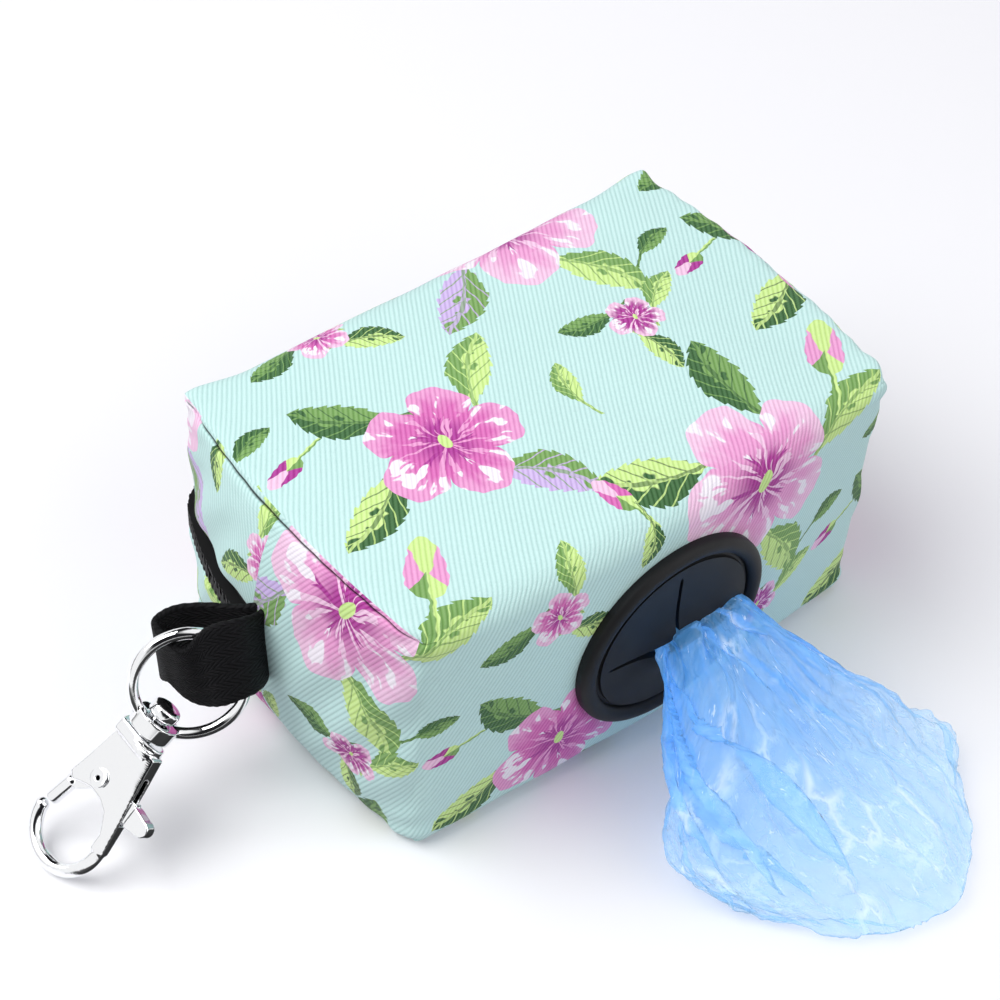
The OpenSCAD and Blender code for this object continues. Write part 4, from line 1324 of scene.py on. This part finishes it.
@dataclass
class Grommet:
    """The rubber grommet: a rolled rim, a waist through the wall, and a membrane cut in four flaps."""

    bench: Bench
    front_y: float = -35.22
    centre_z: float = 25.0
    rim_r: float = 18.0
    membrane_r: float = 15.1
    flap_r: float = 14.4
    waist_r: float = 15.6
    waist_y: float = 5.7
    flap_t: float = 1.2
    flap_steps: int = 28
    membrane_y: float = 0.6
    crown: float = 1.25
    crown_steps: int = 12
    lip_y: float = 1.15
    rim_back_y: float = 2.2
    weld: float = 0.004
    flange: float = 1.2
    rim_steps: int = 120
    slit: float = 0.32
    slit_end: float = 12.9
    slit_round: float = 0.7
    sag: float = 1.3
    edge: float = 0.16
    push_reach: float = 4.5
    # how far the bag pushes the flaps forwards and aside
    push: tuple[float, float] = (-1.2, 0.9)
    hold_r: float = 8.0
    # where the bag comes through the level slit: its start, end and height
    mouth: tuple[float, float, float] = (-1.5, 12.5, -1.4)

    def build(self) -> None:
        """Spins the rim and lays the flaps into it."""
        mesh = bmesh.new()
        self._rim(mesh)
        flaps = [vert for quarter in range(4) for vert in self._flap(mesh, quarter)]
        bmesh.ops.remove_doubles(mesh, verts=flaps, dist=self.weld)
        faces = list(dict.fromkeys(f for vert in flaps if vert.is_valid for f in vert.link_faces))
        bmesh.ops.recalc_face_normals(mesh, faces=faces)
        if faces[0].normal.y > 0:
            bmesh.ops.reverse_faces(mesh, faces=faces)
        bmesh.ops.solidify(mesh, geom=faces, thickness=self.flap_t)
        bmesh.ops.translate(mesh, vec=(0, self.front_y, self.centre_z), verts=mesh.verts)
        bmesh.ops.recalc_face_normals(mesh, faces=mesh.faces)
        piece = self.bench.piece(mesh, "grommet_rubber", "pouch", "black_rubber", ("grommet",))
        self.bench.round_edges(piece, self.edge)

    def _rim(self, mesh: bmesh.types.BMesh) -> None:
        """Spins the rim's section round the grommet's axis."""
        middle = (self.rim_r + self.membrane_r) / 2
        half = (self.rim_r - self.membrane_r) / 2
        steps = self.crown_steps
        arc = [math.pi * (1 - i / steps) for i in range(steps + 1)]
        crown = [(middle + half * math.cos(a), self.crown * (1 - math.sin(a))) for a in arc]
        back = self.waist_y + self.flange
        # radius and depth of each corner
        section = [
            (self.flap_r - 0.1, self.membrane_y), (self.flap_r + 0.15, self.lip_y),
            (self.membrane_r - 0.2, self.lip_y), *crown, (self.rim_r, self.rim_back_y),
            (self.waist_r, self.rim_back_y), (self.waist_r, self.waist_y), (16.5, self.waist_y),
            (16.0, back), (self.membrane_r, back), (self.membrane_r, 2.8), (self.flap_r - 0.1, 1.8),
        ]
        verts = [mesh.verts.new((r, y, 0)) for r, y in section]
        edges = [mesh.edges.new(pair) for pair in zip(verts, verts[1:] + verts[:1])]
        bmesh.ops.spin(
            mesh, geom=verts + edges, cent=(0, 0, 0), axis=(0, 1, 0), dvec=(0, 0, 0),
            angle=math.tau, steps=self.rim_steps, use_merge=True, use_duplicate=False,
        )

    def _flap(self, mesh: bmesh.types.BMesh, quarter: int) -> list[bmesh.types.BMVert]:
        """Bends a grid into one quarter of the membrane, parted from the next ones by the slits.

        Args:
            mesh: The grommet's mesh.
            quarter: Which quarter, counted from the upper right.

        Returns:
            The quarter's vertices.
        """
        steps = self.flap_steps
        made = bmesh.ops.create_grid(mesh, x_segments=steps, y_segments=steps, size=1)["verts"]
        turn = Matrix.Rotation(-quarter * math.pi / 2, 3, "Y")
        for vert in made:
            a, b = (vert.co.x + 1) / 2, (vert.co.y + 1) / 2
            across = a * math.sqrt(1 - b * b / 2) * self.flap_r
            up = b * math.sqrt(1 - a * a / 2) * self.flap_r
            radius = math.hypot(across, up)
            gap = self.slit * (1 - ramp(radius, self.slit_end - self.slit_round, self.slit_end))
            across += gap * (1 - across / self.flap_r)
            up += gap * (1 - up / self.flap_r)
            spot = turn @ Vector((across, self.membrane_y, up))
            droop = self.sag * (1 - (radius / self.flap_r) ** 2)
            vert.co = spot + self._pushed(spot) - Vector((0, 0, max(droop, 0.0)))
        return made

    def _pushed(self, spot: Vector) -> Vector:
        """Returns how far the bag in the level slit pushes a point of a flap forwards and aside."""
        start, end, level = self.mouth
        beside = max(start - spot.x, spot.x - end, 0.0)
        off = math.hypot(beside, spot.z - level)
        hold = 1 - ramp(math.hypot(spot.x, spot.z), self.hold_r, self.flap_r)
        share = spread(off, self.push_reach) * hold
        forwards, aside = self.push
        return Vector((0, forwards * share, math.copysign(aside, spot.z) * share))


# ------------------------------------------------------------------ bags


@dataclass
class Bags:
    """The roll on its core, and the bag that hangs out of the grommet."""

    bench: Bench
    along: int = 210
    round_steps: int = 300
    pleats: int = 5
    fine_pleats: int = 17
    pleat_depth: float = 0.1
    fine_depth: float = 0.06
    neck: float = 0.25
    fold_step: float = 0.07
    fold_drift: float = 0.35
    fold_fade: float = 0.35
    # folds that double the film: angle at the grommet and at the far end, depth, width, where they end
    folds: tuple[tuple[float, float, float, float, float], ...] = (
        (3.0, 1.75, 0.5, 0.15, 1.0), (3.05, 2.2, 0.42, 0.13, 0.98), (3.1, 2.62, 0.36, 0.12, 0.92),
        (2.0, 1.1, 0.3, 0.12, 0.6), (1.2, 0.6, 0.26, 0.11, 0.62), (-2.7, -1.9, 0.4, 0.15, 0.9),
        (-1.2, -0.8, 0.36, 0.14, 0.85),
    )
    floor: float = 0.35
    softness: float = 0.7
    girth: float = 110.0
    sweep_back: float = 17.0
    swell: float = 0.14
    wander: float = 1.8
    # size, detail along the bag and height in millimetres of each layer of crinkles
    crinkles: tuple[tuple[float, float, float], ...] = ((0.5, 4.0, 2.1), (1.1, 9.0, 1.1), (2.3, 19.0, 0.5))
    # places of the bag's middle line, its half width and half height
    run: tuple[tuple[float, float, float, float, float], ...] = (
        (3.0, -18.5, 24.0, 3.2, 3.2), (3.8, -27.0, 24.2, 4.6, 3.2), (5.4, -33.6, 23.9, 8.2, 1.9),
        (5.7, -37.3, 22.8, 9.6, 2.7), (5.7, -42.6, 18.4, 13.0, 5.4), (6.0, -50.0, 12.4, 18.0, 7.8),
        (6.4, -58.0, 8.8, 21.4, 7.4), (7.0, -66.0, 6.6, 23.2, 6.0), (8.0, -74.0, 5.0, 24.4, 4.6),
        (9.4, -81.0, 3.6, 24.6, 3.0), (10.6, -86.6, 1.6, 23.0, 0.9),
    )

    def build(self) -> None:
        """Finishes the roll and its core, and makes the bag."""
        self.bench.paint("roll_core", "core_board")
        self.bench.paint("bag_roll", "wound_film")
        self._tail()

    def _tail(self) -> None:
        """Bends a grid into the gathered, pleated and crinkled bag."""
        mesh = bmesh.new()
        bmesh.ops.create_grid(mesh, x_segments=self.along, y_segments=self.round_steps, size=1)
        layer = mesh.loops.layers.uv.new("film")
        length = -(self.run[-1][1] - self.run[0][1])
        flat = mesh.verts.layers.float_vector.new("flat")
        for vert in mesh.verts:
            vert[flat] = ((vert.co.x + 1) / 2, vert.co.y * math.pi, 0)
            vert.co = self._pleat(vert[flat].x, vert[flat].y)
        for face in mesh.faces:
            for loop in face.loops:
                s, turn, _ = loop.vert[flat]
                loop[layer].uv = (s * length, turn / math.tau * self.girth)
        bmesh.ops.remove_doubles(mesh, verts=mesh.verts, dist=0.001)
        mesh.normal_update()
        shifts = [self._crinkle(v[flat].x, v[flat].y) for v in mesh.verts]
        for vert, shift in zip(mesh.verts, shifts):
            vert.co += vert.normal * shift
            vert.co.z = self._rest(vert.co.z)
        bmesh.ops.smooth_vert(
            mesh, verts=mesh.verts, factor=0.3, use_axis_x=True, use_axis_y=True, use_axis_z=True
        )
        rims = [e for e in mesh.edges if e.is_boundary]
        bmesh.ops.holes_fill(mesh, edges=rims, sides=0)
        bmesh.ops.recalc_face_normals(mesh, faces=mesh.faces)
        bag = self.bench.piece(mesh, "bag_film_tail", "bag", "bag_film", ("bag_tail",))

    def _pleat(self, s: float, turn: float) -> Vector:
        """Places a point of the smooth film, which doubles back over itself in pleats.

        Args:
            s: Share of the length, from the roll to the far end.
            turn: Angle round the bag, in radians.

        Returns:
            The point in millimetres.
        """
        x, y, z, wide, high = curve_row(self.run, s)
        drift = noise.noise(Vector((math.cos(turn), math.sin(turn), s)) * 1.3 + Vector((0, 0, 4)))
        # the pleats are stronger on the left, and die out towards the open end
        left = 0.3 + 0.4 * ramp(-math.cos(turn), -0.5, 0.7)
        main = self.pleats * turn + 4.5 * drift + 1.0
        fine = self.fine_pleats * turn + 6.0 * drift + 2.0 * s
        open_end = 1 - ramp(s, 0.9, 1.0)
        hold = (1.0 - 0.75 * ramp(s, 0.35, 0.95)) * left * open_end
        fine_hold = (1.0 - 0.9 * ramp(s, 0.2, 0.6)) * open_end
        shift = hold / self.pleats * math.sin(main) + fine_hold / self.fine_pleats * math.sin(fine)
        radius = 1 + hold * self.pleat_depth * math.cos(main)
        radius += fine_hold * self.fine_depth * math.cos(fine)
        for start, end, depth, width, until in self.folds:
            neck_share = (1 - max(s - self.neck, 0.0) / (1 - self.neck)) ** 3.5
            path = end + (start - end) * neck_share + self.fold_drift * drift
            off = math.remainder(turn - path, math.tau) / width
            fade = 1 - ramp(s, until - self.fold_fade, until)
            shift -= depth * off * fade * spread(off, 1.0)
            radius += self.fold_step * math.tanh(2 * off) * spread(off, 2.0) * fade
        turn += shift
        side, up = math.cos(turn), math.sin(turn) * open_end
        swell = 1 + self.swell * noise.noise(Vector((side * 1.6, up * 1.6, s * 3.2)))
        back = self.sweep_back * ramp(s, 0.4, 1.0) * side * side
        wander = self.wander * noise.noise(Vector((side * 2.6, up * 0.6, 7.0))) * ramp(s, 0.4, 0.9)
        size = radius * swell
        return Vector((x + side * wide * size, y + back + wander, z + up * high * size))

    def _crinkle(self, s: float, turn: float) -> float:
        """Returns the height of the sharp crinkles, which run from the grommet outwards."""
        ring = Vector((math.cos(turn) * 6.0, math.sin(turn) * 6.0, 0))
        open_out = ramp(s, 0.24, 0.5)
        height = 0.0
        for size, along, tall in self.crinkles:
            where = ring * size + Vector((0, 0, s * along))
            height += (0.5 - 1.7 * abs(noise.noise(where))) * tall
        return height * (0.12 + 0.88 * open_out) * (1 - 0.6 * ramp(s, 0.9, 1.0))

    def _rest(self, z: float) -> float:
        """Lets the film lie on the floor: heights below it are pressed together just above it."""
        above = (z - self.floor) / self.softness
        return z if above > 20 else self.floor + self.softness * math.log1p(math.exp(above))


# ------------------------------------------------------------------ studio


@dataclass
class Studio:
    """Camera, pale floor and soft lamps."""

    azimuth: float = -41.2
    elevation: float = 47.9
    roll: float = 4.2
    distance: float = 381.0
    lens: float = 87.5
    sensor: float = 36.0
    target: tuple[float, float, float] = (-6.6, 0.0, 27.9)
    # the floor as it lights the pouch and as it is seen, the card, the sky and its dark bands
    floor_tone: Colour = (0.57, 0.56, 0.59, 1.0)
    seen_tone: Colour = (0.965, 0.965, 0.97, 1.0)
    card_tone: Colour = (0.02, 0.02, 0.02, 1.0)
    sky_tone: Colour = (0.42, 0.42, 0.46, 1.0)
    band_tone: Colour = (0.015, 0.015, 0.017, 1.0)
    # metres: the edges of the dark card, and where the floor fades into white
    card_x: tuple[float, float] = (-0.05, -0.056)
    card_y: tuple[float, float] = (-0.0072, -0.0085)
    fade: tuple[float, float] = (0.22, 0.5)
    floor_size: float = 5.0
    floor_gap: float = 0.0002
    # name, place and side in metres, and power of each lamp
    lights: tuple[tuple[str, tuple[float, float, float], float, float], ...] = (
        ("Key", (-0.45, 0.25, 0.75), 0.7, 6.4), ("Fill", (0.35, -0.8, 0.6), 0.9, 3.0),
    )
    # the dark and light bands of the sky that polished metal reflects
    wave_axis: tuple[float, float, float] = (0.55, -0.45, 0.7)
    waves: float = 5.0
    wave_start: float = 2.3

    def camera(self) -> None:
        """Sets the camera, which looks down on the front and the webbing's end."""
        a, e = math.radians(self.azimuth), math.radians(self.elevation)
        back = Vector((math.sin(a) * math.cos(e), -math.cos(a) * math.cos(e), math.sin(e)))
        data = bpy.data.cameras.new("Camera")
        data.lens = self.lens
        data.sensor_width = self.sensor
        data.clip_start, data.clip_end = 0.01, 10
        camera = bpy.data.objects.new("Camera", data)
        camera.location = (Vector(self.target) + back * self.distance) * MM
        look = (-back).to_track_quat("-Z", "Y").to_matrix().to_4x4()
        turn = Matrix.Rotation(math.radians(self.roll), 4, back)
        camera.rotation_mode = "QUATERNION"
        camera.rotation_quaternion = (turn @ look).to_quaternion()
        bpy.context.scene.collection.objects.link(camera)
        bpy.context.scene.camera = camera

    def floor(self) -> None:
        """Lays the pale floor under the pouch."""
        mesh = bmesh.new()
        bmesh.ops.create_grid(mesh, x_segments=1, y_segments=1, size=self.floor_size / 2)
        bmesh.ops.translate(mesh, vec=(0, 0, -self.floor_gap), verts=mesh.verts)
        data = bpy.data.meshes.new("floor")
        mesh.to_mesh(data)
        mesh.free()
        floor = bpy.data.objects.new("floor", data)
        bpy.context.scene.collection.objects.link(floor)
        material = bpy.data.materials.new("Floor")
        material.use_nodes = True
        shader = material.node_tree.nodes["Principled BSDF"]
        g = Graph(material.node_tree)
        glossy = g.read("ShaderNodeLightPath", output="Is Glossy Ray")
        seen = g.read("ShaderNodeLightPath", output="Is Camera Ray") | glossy
        seen = seen | g.read("ShaderNodeLightPath", output="Is Transmission Ray")
        tone = g.mix(seen, self.floor_tone, self.seen_tone)
        place = g.read("ShaderNodeTexCoord", output="Object")
        x, y, _ = g.apart(place)
        # a dark card that only reflections show, beside the hook
        card = g.step(x, *self.card_x) * g.step(y, *self.card_y) * glossy
        tone = g.mix(card, tone, self.card_tone)
        far = g.step(g.vector("LENGTH", place, output="Value"), *self.fade)
        g.fill(shader, {
            "Base Color": g.mix(far, tone, (0, 0, 0, 1)), "Roughness": 0.6, "Specular IOR Level": 0.2,
            "Emission Color": (1, 1, 1, 1), "Emission Strength": far * seen,
        })
        data.materials.append(material)

    def lamps(self) -> None:
        """Hangs a large soft lamp and a fill, and makes the sky."""
        for lamp in self.lights:
            self._area(*lamp)
        world = bpy.data.worlds.new("Sky")
        bpy.context.scene.world = world
        world.use_nodes = True
        g = Graph(world.node_tree)
        background = world.node_tree.nodes["Background"]
        seen = g.read("ShaderNodeLightPath", output="Is Camera Ray")
        seen = seen | g.read("ShaderNodeLightPath", output="Is Transmission Ray")
        direction = g.read("ShaderNodeTexCoord", output="Generated")
        lean = g.vector("DOT_PRODUCT", direction, self.wave_axis, output="Value")
        wave = g.math("SINE", lean * self.waves + g.noise(direction, 1.1, 1.0) + self.wave_start)
        glossy = g.mix(g.step(wave, -0.6, 0.25), self.band_tone, (1, 1, 1, 1))
        bounced = g.read("ShaderNodeLightPath", output="Is Glossy Ray")
        soft = g.mix(bounced, self.sky_tone, glossy)
        g.fill(background, {"Color": g.mix(seen, soft, (1, 1, 1, 1)), "Strength": 1.0})

    def _area(self, name: str, place: tuple[float, float, float], size: float, power: float) -> None:
        """Hangs one square lamp that looks at the pouch."""
        data = bpy.data.lights.new(name, "AREA")
        data.size = size
        data.energy = power
        lamp = bpy.data.objects.new(name, data)
        lamp.location = place
        lamp.rotation_mode = "QUATERNION"
        lamp.rotation_quaternion = (-Vector(place)).to_track_quat("-Z", "Y")
        bpy.context.scene.collection.objects.link(lamp)

    def build(self) -> None:
        """Makes the whole studio."""
        self.camera()
        self.floor()
        self.lamps()
        bpy.context.scene.view_settings.view_transform = "Standard"


def write_sizes() -> None:
    """Brings the scene's placements up to date."""
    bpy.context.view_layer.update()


def main() -> None:
    """Builds the studio and every sub-assembly in order."""
    logging.basicConfig(level=logging.INFO, format="%(name)s: %(message)s")
    Studio().build()
    low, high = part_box("roll_core")
    bench = Bench(Wardrobe(Effects(), (low.z + high.z) / 2 / MM))
    for part in (Pouch, WebbingLoop, Zip, SwivelHook, Grommet, Bags):
        part(bench).build()
        LOG.info("%s done", part.__name__)
    write_sizes()


if __name__ == "__main__":
    main()
